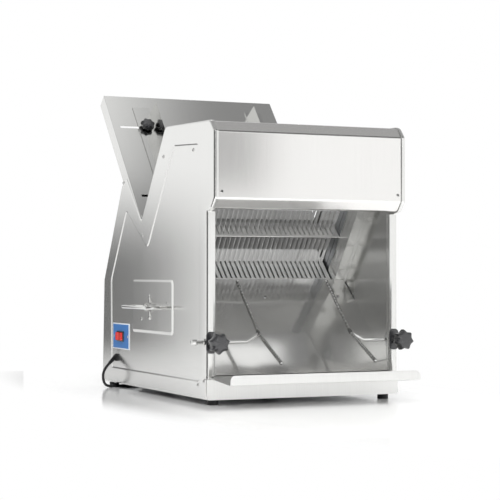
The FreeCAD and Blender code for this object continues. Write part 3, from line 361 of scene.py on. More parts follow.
def bent_bar(points, radius, bend, sides=16, rib=0):
    """A round bar along straight runs with round bends, and with ribs on the runs if it has any.

    The real ribs are about 3 mm apart; they are made coarser so that they show.
    """
    shape, groove, tip = bmesh.new(), 0.72, 0.6
    spots = [drawing(*point) for point in points]
    ahead = (spots[1] - spots[0]).normalized()
    turn = ahead.to_track_quat("Z", "Y").to_matrix().to_4x4()
    made = bmesh.ops.create_circle(shape, segments=sides, radius=radius * MM,
                                   matrix=Matrix.Translation(spots[0]) @ turn)
    ring, here = made["verts"], spots[0]
    cap(shape, ring)
    for index in range(1, len(spots)):
        last = index == len(spots) - 1
        after = ahead if last else (spots[index + 1] - spots[index]).normalized()
        angle = 0 if last else ahead.angle(after)
        reach = bend * MM * math.tan(angle / 2)
        run = spots[index] - ahead * reach - here
        count = 2 * max(1, round(run.length / (2 * rib * MM))) if rib else 1
        for number in range(count):
            made = bmesh.ops.extrude_edge_only(shape, edges=ring_edges(ring))
            ring = parts(made)
            for face in parts(made, bmesh.types.BMFace):
                face.material_index = number % 2
            bmesh.ops.translate(shape, verts=ring, vec=run / count)
            here = here + run / count
            if rib:
                bmesh.ops.scale(shape, verts=ring, vec=(1 / groove if number % 2 else groove,) * 3,
                                space=Matrix.Translation(-here))
        if not last:
            axis = ahead.cross(after).normalized()
            inward = axis.cross(ahead).normalized()
            made = bmesh.ops.spin(shape, geom=ring_edges(ring), cent=here + inward * bend * MM,
                                  axis=axis, angle=angle, steps=6, use_duplicate=False)
            ring = parts(made, key="geom_last")
            here, ahead = spots[index] + after * reach, after
    end = ahead * radius * (1 - tip) * MM
    ring = grow(shape, ring_edges(ring), end)
    bmesh.ops.scale(shape, verts=ring, vec=(tip,) * 3, space=Matrix.Translation(-here - end))
    cap(shape, ring)
    return shape


def star_knob(matrix, radius, depth, neck, neck_long):
    """A moulded star knob about Z: waisted neck, pointed lobes and a soft domed face."""
    shape, lobes, valley, wide, level = bmesh.new(), 7, 0.22, 0.80, 0
    ring = bmesh.ops.create_circle(shape, segments=lobes * 8, radius=radius * MM)["verts"]
    for vert in ring:
        away = abs(math.sin(lobes * math.atan2(vert.co.y, vert.co.x) / 2)) ** 0.9
        vert.co.xy *= (1 - valley * away) * wide
    every = list(ring)
    cap(shape, ring)
    for share, part in ((0.94, 0.06), (1.0, 0.20), (1.0, 0.55), (0.96, 0.74), (0.87, 0.88),
                        (0.70, 0.96), (0.45, 1.0)):
        ring = grow(shape, ring_edges(ring), (0, 0, (part - level) * depth * MM))
        every += ring
        bmesh.ops.scale(shape, verts=ring, vec=(share / wide, share / wide, 1))
        wide, level = share, part
    cap(shape, ring)
    bmesh.ops.transform(shape, matrix=matrix, verts=every)
    turned(shape, matrix, ((neck, -neck_long), (neck, 0.6 - neck_long), (neck * 0.8, 2 - neck_long),
                           (neck * 0.8, -0.5), (neck * 0.95, 0.3)), 28)
    return shape


def screw_head(shape, place, out, radius=4.2, proud=2.0):
    """A pan head screw with a cross recess, on a face that looks along out."""
    cells, round_from = 5, 0.6
    made = bmesh.ops.create_grid(shape, x_segments=cells, y_segments=cells, size=radius * MM)
    verts, reach = made["verts"], radius * MM
    cross = []
    for face in {face for vert in verts for face in vert.link_faces}:
        x, y = (round(face.calc_center_median()[axis] / (reach * 2 / cells)) for axis in (0, 1))
        if min(abs(x), abs(y)) == 0 and max(abs(x), abs(y)) <= 1:
            cross.append(face)
    for vert in verts:
        edge = max(abs(vert.co.x), abs(vert.co.y)) / reach
        if edge > round_from:
            share = (edge - 1 + round_from) / round_from
            vert.co.xy *= 1 + (reach * edge / vert.co.xy.length - 1) * share
        vert.co.z = proud * MM * (1 - (vert.co.xy.length / reach) ** 2 * 0.7)
    sunk = parts(bmesh.ops.extrude_face_region(shape, geom=cross))
    bmesh.ops.delete(shape, geom=cross, context="FACES_ONLY")
    bmesh.ops.translate(shape, verts=sunk, vec=(0, 0, -0.75 * proud * MM))
    # The faces round the sunk cross take the second material, the painted shade in the recess.
    for face in {face for vert in sunk for face in vert.link_faces}:
        face.material_index = 1
    rim = {edge for vert in verts for edge in vert.link_edges if edge.is_boundary
           and abs(edge.verts[0].co.xy.length - reach) < reach * 0.03}
    skirt = grow(shape, list(rim), (0, 0, -0.3 * proud * MM))
    turn = Vector(out).to_track_quat("Z", "Y").to_matrix().to_4x4()
    spin = Matrix.Rotation(math.radians(20 + 37 * (place[1] % 7)), 4, "Z")
    bmesh.ops.transform(shape, matrix=put_at(place) @ turn @ spin,
                        verts=[vert for vert in {*verts, *sunk, *skirt} if vert.is_valid])


def even_shading(thing):
    """Let large flats lead the shading at soft folds."""
    flat = thing.modifiers.new("even_shading", "WEIGHTED_NORMAL")
    flat.keep_sharp = True
    flat.weight = 100


def sheet_metal(thing, wall=-1):
    """Give folded sheet its thickness, and shade its flats evenly."""
    thick = thing.modifiers.new("sheet_thickness", "SOLIDIFY")
    thick.thickness = SHEET * MM
    thick.offset = wall
    thick.use_even_offset = True
    even_shading(thing)


def face_out(shape, probe, direction):
    """Turn an open sheet's faces so that the one nearest a point looks in a direction."""
    bmesh.ops.remove_doubles(shape, verts=shape.verts, dist=2e-6)
    bmesh.ops.recalc_face_normals(shape, faces=shape.faces)
    spot = drawing(*probe)
    near = min(shape.faces, key=lambda face: (face.calc_center_median() - spot).length
               - face.calc_area() * 1e-3)
    if near.normal.dot(Vector(direction)) < 0:
        bmesh.ops.reverse_faces(shape, faces=shape.faces)


STEEL = {}


def finishes():
    """Every finish of the machine, made once."""
    if STEEL:
        return STEEL
    STEEL.update(
        # Side panels: 304 sheet ground upright with a fine belt, so lines change along Y.
        panel=brushed("brushed_stainless_upright", "#eaeae8", "y", 0.18, depth=0.004, bare=0.94),
        # Hood: the same sheet, ground from top to bottom, so lines change along X.
        sheet=brushed("brushed_stainless_across", "#f0efed", "x", 0.17, depth=0.003, bare=0.94),
        # Apron and tray: the sheet's own fine satin rolling, with the faintest lines.
        apron=brushed("satin_stainless", "#f0f0ee", "x", 0.34, depth=0.004),
        # Chute, loading plate and combs: mirror finish where the bread slides.
        chute=polished("mirror_stainless", "#e2e2e0", 0.10, 0.08, 0.9),
        plate=brushed("fine_ground_stainless", "#e4e4e2", "x", 0.20, depth=0.005),
        comb=polished("bright_rolled_stainless", "#f0f0ee", 0.16, bare=0.65),
        mirror=polished("polished_stainless", "#e6e6e4", 0.16, bare=0.75),
        # Feed plate: polished steel painted dark, the painted shade of the hollow behind the blades.
        feed=polished("shade_darkened_polished_stainless", "#7e7e7c", 0.3, bare=0.9),
        fin=polished("polished_sheet_stainless", "#dcdcda", 0.14),
        rod=polished("bright_drawn_stainless", "#e2e2e0", 0.12, 0.01, 0.96),
        wire=polished("knurled_drawn_stainless", "#dadad8", 0.2, 0.01),
        groove=polished("shaded_wire_groove", "#8a8a88", 0.35, 0.01),
        screw=polished("bright_screw_steel", "#d6d6d4", 0.14, 0.005),
        # Screw recesses: painted shade, the shadow inside each cross recess.
        recess=polished("painted_shade_screw_recess", "#2c2c2b", 0.4, 0.005),
        blade=brushed("ground_spring_steel", "#ececec", "z", 0.15, depth=0.003, bare=0.72),
        ground=brushed("ground_shaft_steel", "#b9babb", "x", 0.25, depth=0.01),
        zinc=polished("zinc_plated_steel", "#b4b7ba", 0.30, 0.02),
        cast=brushed("milled_aluminium", "#c3c5c8", "y", 0.35, line=1.6),
        paint=moulded("grey_enamel", "#3f4449", 0.42, 1.5, 0.04),
        black=moulded("black_phenolic", "#262628", 0.18, 0.8, 0.02, Specular_IOR_Level=1.0),
        red=moulded("red_polycarbonate", "#d3271f", 0.22, 1.2, 0.01),
        blue=moulded("blue_lacquered_plate", "#3174ba", 0.40, 0.9, 0.01),
        pale=moulded("white_lacquered_plate", "#dfe4ea", 0.40, 0.9, 0.01),
        rubber=moulded("black_rubber", "#161617", 0.55, 0.9, 0.04),
        cord=moulded("black_pvc_sheath", "#1a1a1b", 0.40, 0.5, 0.02),
    )
    return STEEL


SLOT_FINISH = {
    "polished_steel": "mirror", "blade_steel": "blade", "ground_steel": "ground",
    "zinc_steel": "zinc", "frame_aluminium": "cast", "motor_paint": "paint",
    "black_plastic": "black", "red_plastic": "red", "blue_film": "blue", "black_rubber": "rubber",
}
OWN_FINISH = {
    "side_panel_left": "panel", "side_panel_right": "panel", "chute_plate": "chute",
    "loading_plate": "plate", "lower_comb": "comb", "upper_comb": "comb", "feed_plate": "feed",
    "loaf_guide_left": "fin", "loaf_guide_right": "fin", "mains_plug": "rubber",
}
ROD_PIECES = ("slice_guide", "side_handle", "guide_cap", "handle_straps", "arm_bushes",
              "casing_sc")


def finish_of(row):
    """The finish of one of the record's sub-parts: its own one, or its slot's."""
    if row["node"].startswith(ROD_PIECES):
        return "rod"
    return OWN_FINISH.get(row["node"], SLOT_FINISH.get(row["material_slot"], "sheet"))


# ---------------------------------------------------------------- sizes to change
class SlicerSizes(bpy.types.PropertyGroup):
    """The sizes of the added pieces."""
    rim_roll: bpy.props.FloatProperty(
        name="Rim roll", description="Radius of the rolled edge of the side panels",
        default=5.8 * MM, unit="LENGTH")
    scallop_pitch: bpy.props.FloatProperty(
        name="Scallop pitch", description="Length of one scallop of a blade's edge",
        default=9 * MM, unit="LENGTH")
    scallop_depth: bpy.props.FloatProperty(
        name="Scallop depth", description="Depth of the scallops of a blade's edge",
        default=1.6 * MM, unit="LENGTH")
    rib_pitch: bpy.props.FloatProperty(
        name="Rib pitch", description="Distance between the ribs of the slice guides' wires",
        default=4.6 * MM, unit="LENGTH")
    cord_width: bpy.props.FloatProperty(
        name="Cord width", description="Outside width of the mains cord", default=6.4 * MM,
        unit="LENGTH")
    cord_length: bpy.props.FloatProperty(
        name="Cord length", description="Real length of the mains cord", default=1.8,
        unit="LENGTH")


# ---------------------------------------------------------------- places from the drawing
def on_plate(x, up, out):
    """A point of the loading plate: up its slope and out of its face."""
    side, rise = math.cos(PLATE_LEAN), math.sin(PLATE_LEAN)
    return x, 399 + up * side - out * rise, 396 + up * rise + out * side


DEPTH = 668.985
TOP = 594
VEE, PEAK, BROW, CHIN = (393, 391), (495, 495), (-17.5, 587), (-38.5, 422)
VEE_TOP_Y = VEE[0] - (TOP - VEE[1]) * math.tan(LEAN)
# The side panels' outline as (y, z, corner radius), and that of the field sunk 1.8 mm into them.
OUTLINE = ((0, 0, 8), (DEPTH, 0, 8), (DEPTH - 12, 251, 12), (DEPTH - 141, 477, 12), (*PEAK, 7),
           (*VEE, 4), (VEE_TOP_Y, TOP, 17), (*BROW, 17), (CHIN[0], 564, 9), (*CHIN, 7),
           (-20.5, 401, 6), (0, 396, 2), (0, 50, 0))
FIELD_VEE, FIELD_TOP = (VEE[0] - 38, VEE[1] - 66), TOP - 45
FIELD_TOP_Y = FIELD_VEE[0] - (FIELD_TOP - FIELD_VEE[1]) * math.tan(LEAN)
FIELD = ((42, 36, 9), (DEPTH - 68, 36, 12), (DEPTH - 64, 251, 22), (PEAK[0], PEAK[1] - 77, 11),
         (*FIELD_VEE, 15), (FIELD_TOP_Y, FIELD_TOP, 15), (42, BROW[1] - 45, 15))
FIELD_X = 1.8 - HALF
PAD = oblong(FIELD_X, 324.5, 190.5, 0, 132.5, 62.5)
PAD_STEP = ((2.0, 0.24), (2.2, 0.74), (2.2, 0.74), (2.0, 0.24))
SOFT_STEP = ((0.8, -0.24), (1.0, -0.66), (1.0, -0.66), (0.8, -0.24))
# How far the panels' rims reach inwards.
FLANGE = 10.5
# How many blades and how far apart, their middle 95 mm up their own plane, and half the length
# and width, the thickness and the tab of each.
BLADES, BLADE_PITCH = 31, 12
BLADE_MIDDLE = (284 - 95 * math.sin(LEAN), 285 + 95 * math.cos(LEAN))
BLADE_REACH, BLADE_SIDE, BLADE_THICK, TAB_LONG = 180, 6, 0.6, 24
# The places (y, z) of the guides' arms, of the switch and of the cord's gland, and the front
# knobs' distance from the middle.
ARM = (12.5, 121)
SWITCH = (DEPTH - 136, 115)
GLAND = (562.985, 63)
KNOB_X = 218.75

SHEARED = ("loading_plate", "loaf_guide_left", "loaf_guide_right", "side_channel_left",
           "side_channel_right", "lower_comb", "upper_comb")
BODY_OF = {"loaf_guide_left": "left_loaf_guide", "loaf_guide_right": "right_loaf_guide"}


# ---------------------------------------------------------------- pieces
class SLICER_OT_casing(bpy.types.Operator):
    """Give each sub-part of the casing, the bread path and the drive its finish"""
    bl_idname = "slicer.casing"
    bl_label = "Casing and drive finish"

    def execute(self, context):
        for row in frame["record"]["subparts"]:
            materials = frame["nodes"][row["node"]].data.materials
            materials.clear()
            materials.append(finishes()[finish_of(row)])
        return {"FINISHED"}


class SLICER_OT_sheet_edges(bpy.types.Operator):
    """Round the sheared edges of the loading plate, the loaf guides, the combs and the channels"""
    bl_idname = "slicer.sheet_edges"
    bl_label = "Sheared edges"

    def execute(self, context):
        rows = {row["node"]: row for row in frame["record"]["subparts"]}
        for node in SHEARED:
            shape = bmesh.new()
            shape.from_mesh(frame["nodes"][node].data)
            shape.transform(frame["nodes"][node].matrix_world)
            bmesh.ops.remove_doubles(shape, verts=shape.verts, dist=1e-6)
            bmesh.ops.dissolve_limit(shape, angle_limit=math.radians(1), verts=shape.verts,
                                     edges=shape.edges)
            thing = settle(shape, "deburred_" + node, BODY_OF.get(node, "casing"),
                           finish_of(rows[node]), (node,), 30,
                           merge=False)
            edge = thing.modifiers.new("deburred_edges", "BEVEL")
            edge.width = 0.5 * MM
            edge.segments = 2
            edge.limit_method = "ANGLE"
            edge.angle_limit = math.radians(30)
            even_shading(thing)
        return {"FINISHED"}


def sunk_field(shape, switched):
    """The field, sunk by a soft step, with the pad raised in it again, and the switch's opening."""
    field = outline_face(shape, -HALF, FIELD)
    pad = rounded_face(shape, PAD, (12,) * 4)
    press(shape, field, SOFT_STEP)
    press(shape, pad, PAD_STEP)
    bmesh.ops.delete(shape, geom=[field], context="FACES_ONLY")
    if switched:
        opening = oblong(FIELD_X, *SWITCH, 0, 21, 11.5)
        shape.faces.remove(rounded_face(shape, opening, (2,) * 4, 3))
    for x in (-HALF, FIELD_X):
        bmesh.ops.triangle_fill(shape, edges=open_edges(shape, x), use_beauty=True,
                                use_dissolve=False, normal=(-1, 0, 0))


def flange(shape, roll):
    """The rim turned inwards, left out under the loading plate, and the front post."""
    made = bmesh.ops.extrude_edge_only(shape, edges=open_edges(shape, roll - HALF))
    bmesh.ops.translate(shape, verts=parts(made), vec=((FLANGE - roll) * MM, 0, 0))
    low, high = drawing(0, *VEE), drawing(0, *PEAK)
    slope = (high - low).normalized()
    room = []
    for face in parts(made, bmesh.types.BMFace):
        away = face.calc_center_median() - low
        away.x = 0
        along = away.dot(slope)
        if 0.004 < along < (high - low).length - 0.004 and (away - slope * along).length < 0.01:
            room.append(face)
    bmesh.ops.delete(shape, geom=room, context="FACES")
    front = [edge for edge in open_edges(shape, FLANGE - HALF)
             if all(abs(vert.co.y - SHIFT.y) < MM
                    and drawing(0, 0, 49).z < vert.co.z < drawing(0, 0, 398).z
                    for vert in edge.verts)]
    for step in ((9 * MM, 0, 0), (0, 14 * MM, 0)):
        front = ring_edges(grow(shape, front, step))


class SLICER_OT_side_panels(bpy.types.Operator):
    """Press both side panels: rolled rim, sunk field, raised pad and front post"""
    bl_idname = "slicer.side_panels"
    bl_label = "Side panels"

    def execute(self, context):
        roll = context.scene.slicer_sizes.rim_roll / MM
        for side in ("left", "right"):
            shape = bmesh.new()
            rim = outline_face(shape, roll - HALF, OUTLINE)
            turns = [math.radians(18 * number) for number in range(6)]
            press(shape, rim, [(roll * (math.cos(a) - math.cos(b)), roll * (math.sin(b) - math.sin(a)))
                               for a, b in zip(turns, turns[1:])])
            bmesh.ops.delete(shape, geom=[rim], context="FACES_ONLY")
            sunk_field(shape, side == "left")
            flange(shape, roll)
            face_out(shape, (-HALF, 30, 300), (-1, 0, 0))
            if side == "right":
                bmesh.ops.scale(shape, verts=shape.verts, vec=(-1, 1, 1))
                bmesh.ops.reverse_faces(shape, faces=shape.faces)
            sheet_metal(settle(shape, f"pressed_panel_{side}", "casing", "panel",
                               (f"side_panel_{side}",), 32, merge=False))
        return {"FINISHED"}


class SLICER_OT_hood(bpy.types.Operator):
    """Fold the hood with its soft shoulder and chin"""
    bl_idname = "slicer.hood"
    bl_label = "Hood"

    def execute(self, context):
        recess = 2.4
        front, low_y, low_z = recess + CHIN[0], VEE_TOP_Y - recess / 2, TOP - recess
        points = ((low_y + 72 * math.sin(LEAN), low_z - 72 * math.cos(LEAN)), (low_y, low_z),
                  (BROW[0], BROW[1] - recess), (front, 564 - recess / 2), (front, CHIN[1]),
                  (recess - 20.5, 402), (22, 402))
        folded("folded_hood", "hood", "sheet", 217.7, points, 3.2, (front, 500), 6)
        return {"FINISHED"}


class SLICER_OT_front(bpy.types.Operator):
    """Fold the front apron and the bread tray with its rounded lip"""
    bl_idname = "slicer.front"
    bl_label = "Apron and tray"

    def execute(self, context):
        folded("folded_apron", "front_apron", "apron", HALF, ((13, 45.3), (-1.8, 45.3), (-1.8, 0.6)),
               2.2, (-1.8, 20), corner=(6, 5))
        slope = 11 / 127
        folded("folded_tray", "tray", "apron", 222,
               ((28, 49.4 + 10 * slope), (-109, 38.4), (-109, 58.4)), 3, (-109, 50),
               corner=(11, 6), wall=1)
        return {"FINISHED"}


def strip(shape, x, side, sizes):
    """One blade: a flat strip, toothed where the loaf comes from, with a tab at each end."""
    reach = BLADE_REACH * MM
    count = round(2 * reach / sizes.scallop_pitch) * 2
    size = Matrix.Diagonal((BLADE_SIDE * MM, reach, 1, 1))
    made = bmesh.ops.create_grid(shape, x_segments=2, y_segments=count, size=1, matrix=size)
    verts = made["verts"]
    for vert in verts:
        if vert.co.x > 5 * MM and round((vert.co.y + reach) * count / (2 * reach)) % 2:
            vert.co.x -= sizes.scallop_depth
    inner = -1 if side == "front" else 1
    tabs = [edge for edge in ring_edges(verts)
            if all(abs(vert.co.y) > reach - 0.1 * MM for vert in edge.verts)
            and sum(vert.co.x for vert in edge.verts) * inner > 0]
    ears = grow(shape, tabs)
    for vert in ears:
        vert.co.y += math.copysign(TAB_LONG * MM, vert.co.y)
        if abs(vert.co.x) < 1 * MM:
            vert.co.x = inner * 1.2 * MM
    faces = list({face for vert in {*verts, *ears} for face in vert.link_faces})
    made = bmesh.ops.extrude_face_region(shape, geom=faces, use_keep_orig=True)
    back = parts(made)
    bmesh.ops.translate(shape, verts=back, vec=(0, 0, BLADE_THICK * MM))
    every = list({*verts, *ears, *back})
    bmesh.ops.translate(shape, verts=every, vec=(0, 0, -BLADE_THICK / 2 * MM))
    bmesh.ops.transform(shape, verts=every, matrix=put_at(
        (x, *BLADE_MIDDLE), (math.degrees(LEAN), "X"), (90, "Y"), (90, "Z")))
    bmesh.ops.recalc_face_normals(shape, faces=list({face for vert in every
                                                     for face in vert.link_faces}))


class SLICER_OT_blades(bpy.types.Operator):
    """Cut the blades: thin strips with a scalloped edge, held by narrow tabs"""
    bl_idname = "slicer.blades"
    bl_label = "Blades"

    def execute(self, context):
        for side, first in (("front", 0), ("rear", 1)):
            shape = bmesh.new()
            for index in range(first, BLADES, 2):
                strip(shape, (index - BLADES // 2) * BLADE_PITCH, side,
                      context.scene.slicer_sizes)
            settle(shape, f"scalloped_blades_{side}", f"{side}_frame", "blade",
                   (f"{side}_blades",), 30, merge=False)
        return {"FINISHED"}


def knob(group, side, *sizes):
    """One star knob in place of its node, with its moulded edges rounded."""
    thing = settle(star_knob(*sizes), f"{group}_star_knob_{side}", f"{side}_{group}_knob", "black",
                   (f"{group}_knob_{side}",), 50)
    round_off = thing.modifiers.new("moulded_rounding", "SUBSURF")
    round_off.levels = 1
    round_off.render_levels = 1


def flanges():
    """The pressed clamp flanges behind the front knobs."""
    shape = bmesh.new()
    for x in (-KNOB_X, KNOB_X):
        skin = rounded_face(shape, oblong(x, 0, ARM[1], 11, 0, 23), (9,) * 4, axis=1)
        press(shape, skin, ((0.02, 2.2), (0.9, 0.8)))
    settle(shape, "pressed_clamp_flanges", "casing", "black",
           ("clamp_flanges",), 40)


class SLICER_OT_knobs(bpy.types.Operator):
    """Mould the four star knobs and the clamp flanges behind the front ones"""
    bl_idname = "slicer.knobs"
    bl_label = "Star knobs"

    def execute(self, context):
        for side, x, turn in (("left", -KNOB_X, 12), ("right", KNOB_X, -9)):
            knob("front", side, put_at((x, -33.4, ARM[1]), (90, "X"), (turn, "Z")), 24, 22, 9, 30)
        flanges()
        for side, x, turn in (("left", -140, 5), ("right", 165, 20)):
            place = put_at(on_plate(x, 300, 5.6), (math.degrees(PLATE_LEAN), "X"), (turn, "Z"))
            knob("loaf", side, place, 18.5, 14, 7, 3.2)
        return {"FINISHED"}


class SLICER_OT_slice_guides(bpy.types.Operator):
    """Bend both slice guides: a ribbed wire on a smooth arm, with its end cap"""
    bl_idname = "slicer.slice_guides"
    bl_label = "Slice guides"

    def execute(self, context):
        rib = context.scene.slicer_sizes.rib_pitch / MM
        for side, sign, wire in (("left", -1, -103), ("right", 1, 118)):
            body, elbow = f"{side}_slice_guide", (wire, ARM[0], 137)
            shape = bent_bar(((sign * 251.2, *ARM), (wire + sign * 29, *ARM), elbow), 4.5, 16)
            settle(shape, f"guide_arm_{side}", body, "rod",
                   (f"slice_guide_{side}", f"guide_cap_{side}"), 50)
            shape = bent_bar(((wire, 128, 248), elbow, (wire, -99, 81)), 4.3, 40, 14, rib)
            thing = settle(shape, f"ribbed_wire_{side}", body, "wire", (), 50)
            thing.data.materials.append(finishes()["groove"])
            shape = bmesh.new()
            turned(shape, put_at((sign * 246, *ARM), (90 * sign, "Y")),
                   ((5.6, 0), (7, 1.2), (7, 9.5), (6.2, 11.4), (3.6, 12)), 28)
            settle(shape, f"arm_end_cap_{side}", body, "rod", (), 40)
        return {"FINISHED"}


class SLICER_OT_handles(bpy.types.Operator):
    """Bend the lifting handles and the straps that hold them"""
    bl_idname = "slicer.handles"
    bl_label = "Lifting handles"

    def execute(self, context):
        strap = bmesh.new()
        for side, sign in (("left", -1), ("right", 1)):
            x, out = sign * 236, sign * 272
            shape = bent_bar([(across, y, 189) for across, y in (
                (x, 333.7), (x, 238), (out, 238), (out, 408), (x, 408), (x, 334.3))], 4, 16)
            settle(shape, f"bail_handle_{side}", f"{side}_handle", "rod",
                   (f"side_handle_{side}",), 50)
            # Each wall of the strap: where it starts and ends outwards, and its foot and top.
            for near, far, foot, top in ((11.8, 13.8, 180, 198), (0, 13.8, 196, 198),
                                         (0, 13.8, 180, 182), (0, 2, 196, 218), (0, 2, 160, 182)):
                low, high = sorted((sign * (HALF + near), sign * (HALF + far)))
                block(strap, (low, 329.5, foot), (high, 338.5, top), 0.5)
        settle(strap, "handle_strap_pair", "casing", "rod", ("handle_straps",), 40,
               merge=False)
        return {"FINISHED"}


class SLICER_OT_switch(bpy.types.Operator):
    """Make the switch's blue plate with its pale border, and its black bezel"""
    bl_idname = "slicer.switch"
    bl_label = "Mains switch"

    def execute(self, context):
        y, z = SWITCH
        for name, finish, out, back, long, high, edge, hides in (
                ("switch_plate_rim", "pale", 1.3, 0, 57.5, 31, (0.5, 2), ("switch_plate",)),
                ("switch_plate_face", "blue", 1.5, 0.8, 54, 28.4, (0.15, 1), ())):
            shape = bmesh.new()
            block(shape, (FIELD_X - out, y - long, z - high), (FIELD_X - back, y + long, z + high),
                  *edge)
            settle(shape, name, "casing", finish, hides, 40, merge=False)
        shape = bmesh.new()
        skin = rounded_face(shape, oblong(FIELD_X - 1.5, y, z, 0, 22, 12.5), (2.5,) * 4, 4)
        press(shape, skin, ((0.01, 2.3), (0.5, 0.9), (0.8, 0.3), (1.3, 0), (0.5, -0.6), (0.05, -7.5)))
        settle(shape, "switch_bezel", "casing", "black", ("switch_housing",), 40)
        return {"FINISHED"}


class SLICER_OT_screws(bpy.types.Operator):
    """Turn every visible screw, with its cross recess"""
    bl_idname = "slicer.screws"
    bl_label = "Screws"

    def execute(self, context):
        shape = bmesh.new()
        # How far below the rim's face each screw of a side panel sits, and its place (y, z).
        side = ((1.8, 78, 530), (0, VEE_TOP_Y + 7, 527), (0, 383, 354), (0, 514, 482), (0, 14, 40),
                (0, 47, 30), (-2, 334, 212), (-2, 334, 166), (0, 225, 201), (0, 388, 161))
        for sign in (-1, 1):
            for inset, y, z in side:
                screw_head(shape, (sign * (HALF - inset), y, z), (sign, 0, 0))
            screw_head(shape, (sign * 209, -36.1, 436), (0, -1, 0), 3.8)
        for aside in (-48, 48):
            screw_head(shape, (FIELD_X - 1.5, SWITCH[0] + aside, SWITCH[1]), (-1, 0, 0), 3.2, 1.4)
        chute = math.atan2(201, 234)
        for x in (-186, 0, 186):
            screw_head(shape, (x, 204, 52.4 + 186 * math.tan(chute)),
                       (0, -math.sin(chute), math.cos(chute)), 4.4, 2.2)
        heads = settle(shape, "pan_head_screws", "casing", "screw",
                       ("casing_screws",), 40, merge=False)
        # The second material is the painted shade of the cross recesses.
        heads.data.materials.append(finishes()["recess"])
        return {"FINISHED"}


class SLICER_OT_relief(bpy.types.Operator):
    """Mould the cable gland with its ribbed strain relief"""
    bl_idname = "slicer.relief"
    bl_label = "Strain relief"

    def execute(self, context):
        shape = bmesh.new()
        rib = ((-0.8, 0), (-0.8, 0.9), (0, 1.3), (0, 2.4), (-0.8, 2.8))
        turned(shape, put_at((-HALF - 4, *GLAND), (-135, "Y")),
               ((5.6, -1.5), (5.6, 0.5), *ribs(6, 5.5, 0.25, 1.2, 3, rib), (3.4, 20)), 24)
        turned(shape, put_at((FIELD_X, *GLAND), (-90, "Y")), ((9, 0), (9, 4.2), (8, 5.6), (5, 6.2)), 28)
        settle(shape, "ribbed_strain_relief", "casing", "rubber", ("cable_gland",), 40)
        return {"FINISHED"}


CORD_ROUTE = (
    (-246.642, 562.985, 48.858), (-260.784, 562.985, 34.716), (-262.5, 566, 11),
    (-249, 580, -7.8), (-216, 590, -7.8), (-180, 594, -7.8), (-150, 614, -7.8),
    (-131, 645, -7.8), (-124, 680, -7.8), (-111, 714.4, -7.8), (-94, 732, -7.8),
)
# The coil's middle, its turns in degrees, and how far inside its points the line runs.
COIL, COIL_TURNS, INSIDE = (-46, 752), 6 * 360 + 165, 0.966
# Each stage of the coil: steps, radius, height and shift towards the back, from its start to its end.
COIL_STAGES = (
    (24, (41.6, 28.4), (3.2, 3.2), (0, 0)), (3, (28.4, 28.4), (3.2, 9.6), (0, 0)),
    (24, (28.4, 41.6), (9.6, 9.6), (0, 0)), (3, (41.6, 41.4), (9.6, 16), (0, 0)),
    (7, (41.4, 40.5), (16, 16), (0, 0)), (6, (40.5, 30), (16, 16), (0, 0)),
    (2, (30, 28), (16, 16), (0, 2)), (4, (28, 28), (16, 22.4), (2, 11)),
    (2, (28, 28), (22.4, 22.4), (11, 12.5)), (2, (28, 28), (23, 27), (12.5, 12.5)),
    (2, (28, 28), (27.4, 31.2), (12.5, 12.5)),
)
PLUG_SPOT = (-18, 764.5, 19.2)


def turns():
    """The coil's own turns, in three layers, then half a turn on top of them into the plug."""
    step = math.radians(COIL_TURNS) / (sum(stage[0] for stage in COIL_STAGES) - 1)
    spots, angle = [], math.pi
    for steps, *changes in COIL_STAGES:
        for number in range(steps):
            radius, height, back = [start + (end - start) * number / steps
                                    for start, end in changes]
            radius /= INSIDE
            spots.append(drawing(COIL[0] + radius * math.cos(angle),
                                 COIL[1] + back + radius * math.sin(angle), height - FOOT))
            angle -= step
    return [*spots, drawing(*PLUG_SPOT)]


def plug():
    """The moulded plug: waisted body, tapered relief and two pins."""
    shape = bmesh.new()
    x, end, z = PLUG_SPOT
    block(shape, (x - 16, end - 61.5, z - 11), (x + 16, end - 25.5, z + 11), 4.5, 4)
    rib = ((-1, 0), (0, 0.8), (-0.2, 3.4), (-1.2, 4.2))
    turned(shape, put_at((x, end - 28, z), (-90, "X")),
           ((9, 0), (8.4, 4), *ribs(4, 7.8, 0.7, 6, 5, rib), (3.4, 28.5)), 24)
    for aside in (-9.5, 9.5):
        turned(shape, put_at((x + aside, end - 60.5, z), (90, "X")),
               ((2.4, 0), (2.4, 18.6), (1.4, 19.9)), 18)
    return settle(shape, "moulded_plug", "casing", "rubber", ("mains_plug",), 40)


class SLICER_OT_cord(bpy.types.Operator):
    """Lay the mains cord from its gland to a neat coil behind the machine, with its plug"""
    bl_idname = "slicer.cord"
    bl_label = "Mains cord"

    def execute(self, context):
        sizes = context.scene.slicer_sizes
        points = [drawing(*place) for place in CORD_ROUTE] + turns()
        line = bpy.data.curves.new("mains_flex", "CURVE")
        line.dimensions = "3D"
        spline = line.splines.new("NURBS")
        spline.points.add(len(points) - 1)
        for knot, place in zip(spline.points, points):
            knot.co = (*place, 1)
        spline.order_u = 3
        spline.use_endpoint_u = True
        spline.resolution_u = 6
        line.bevel_depth = sizes.cord_width / 2
        line.bevel_resolution = 5
        line.use_fill_caps = True
        line.materials.append(finishes()["cord"])
        thing = into_scene("mains_flex", line)
        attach(thing, "casing")
        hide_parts("mains_cord", "cord_coil")
        plug()
        return {"FINISHED"}


# ---------------------------------------------------------------- studio
CAMERA_TURN = math.radians(-24.33)


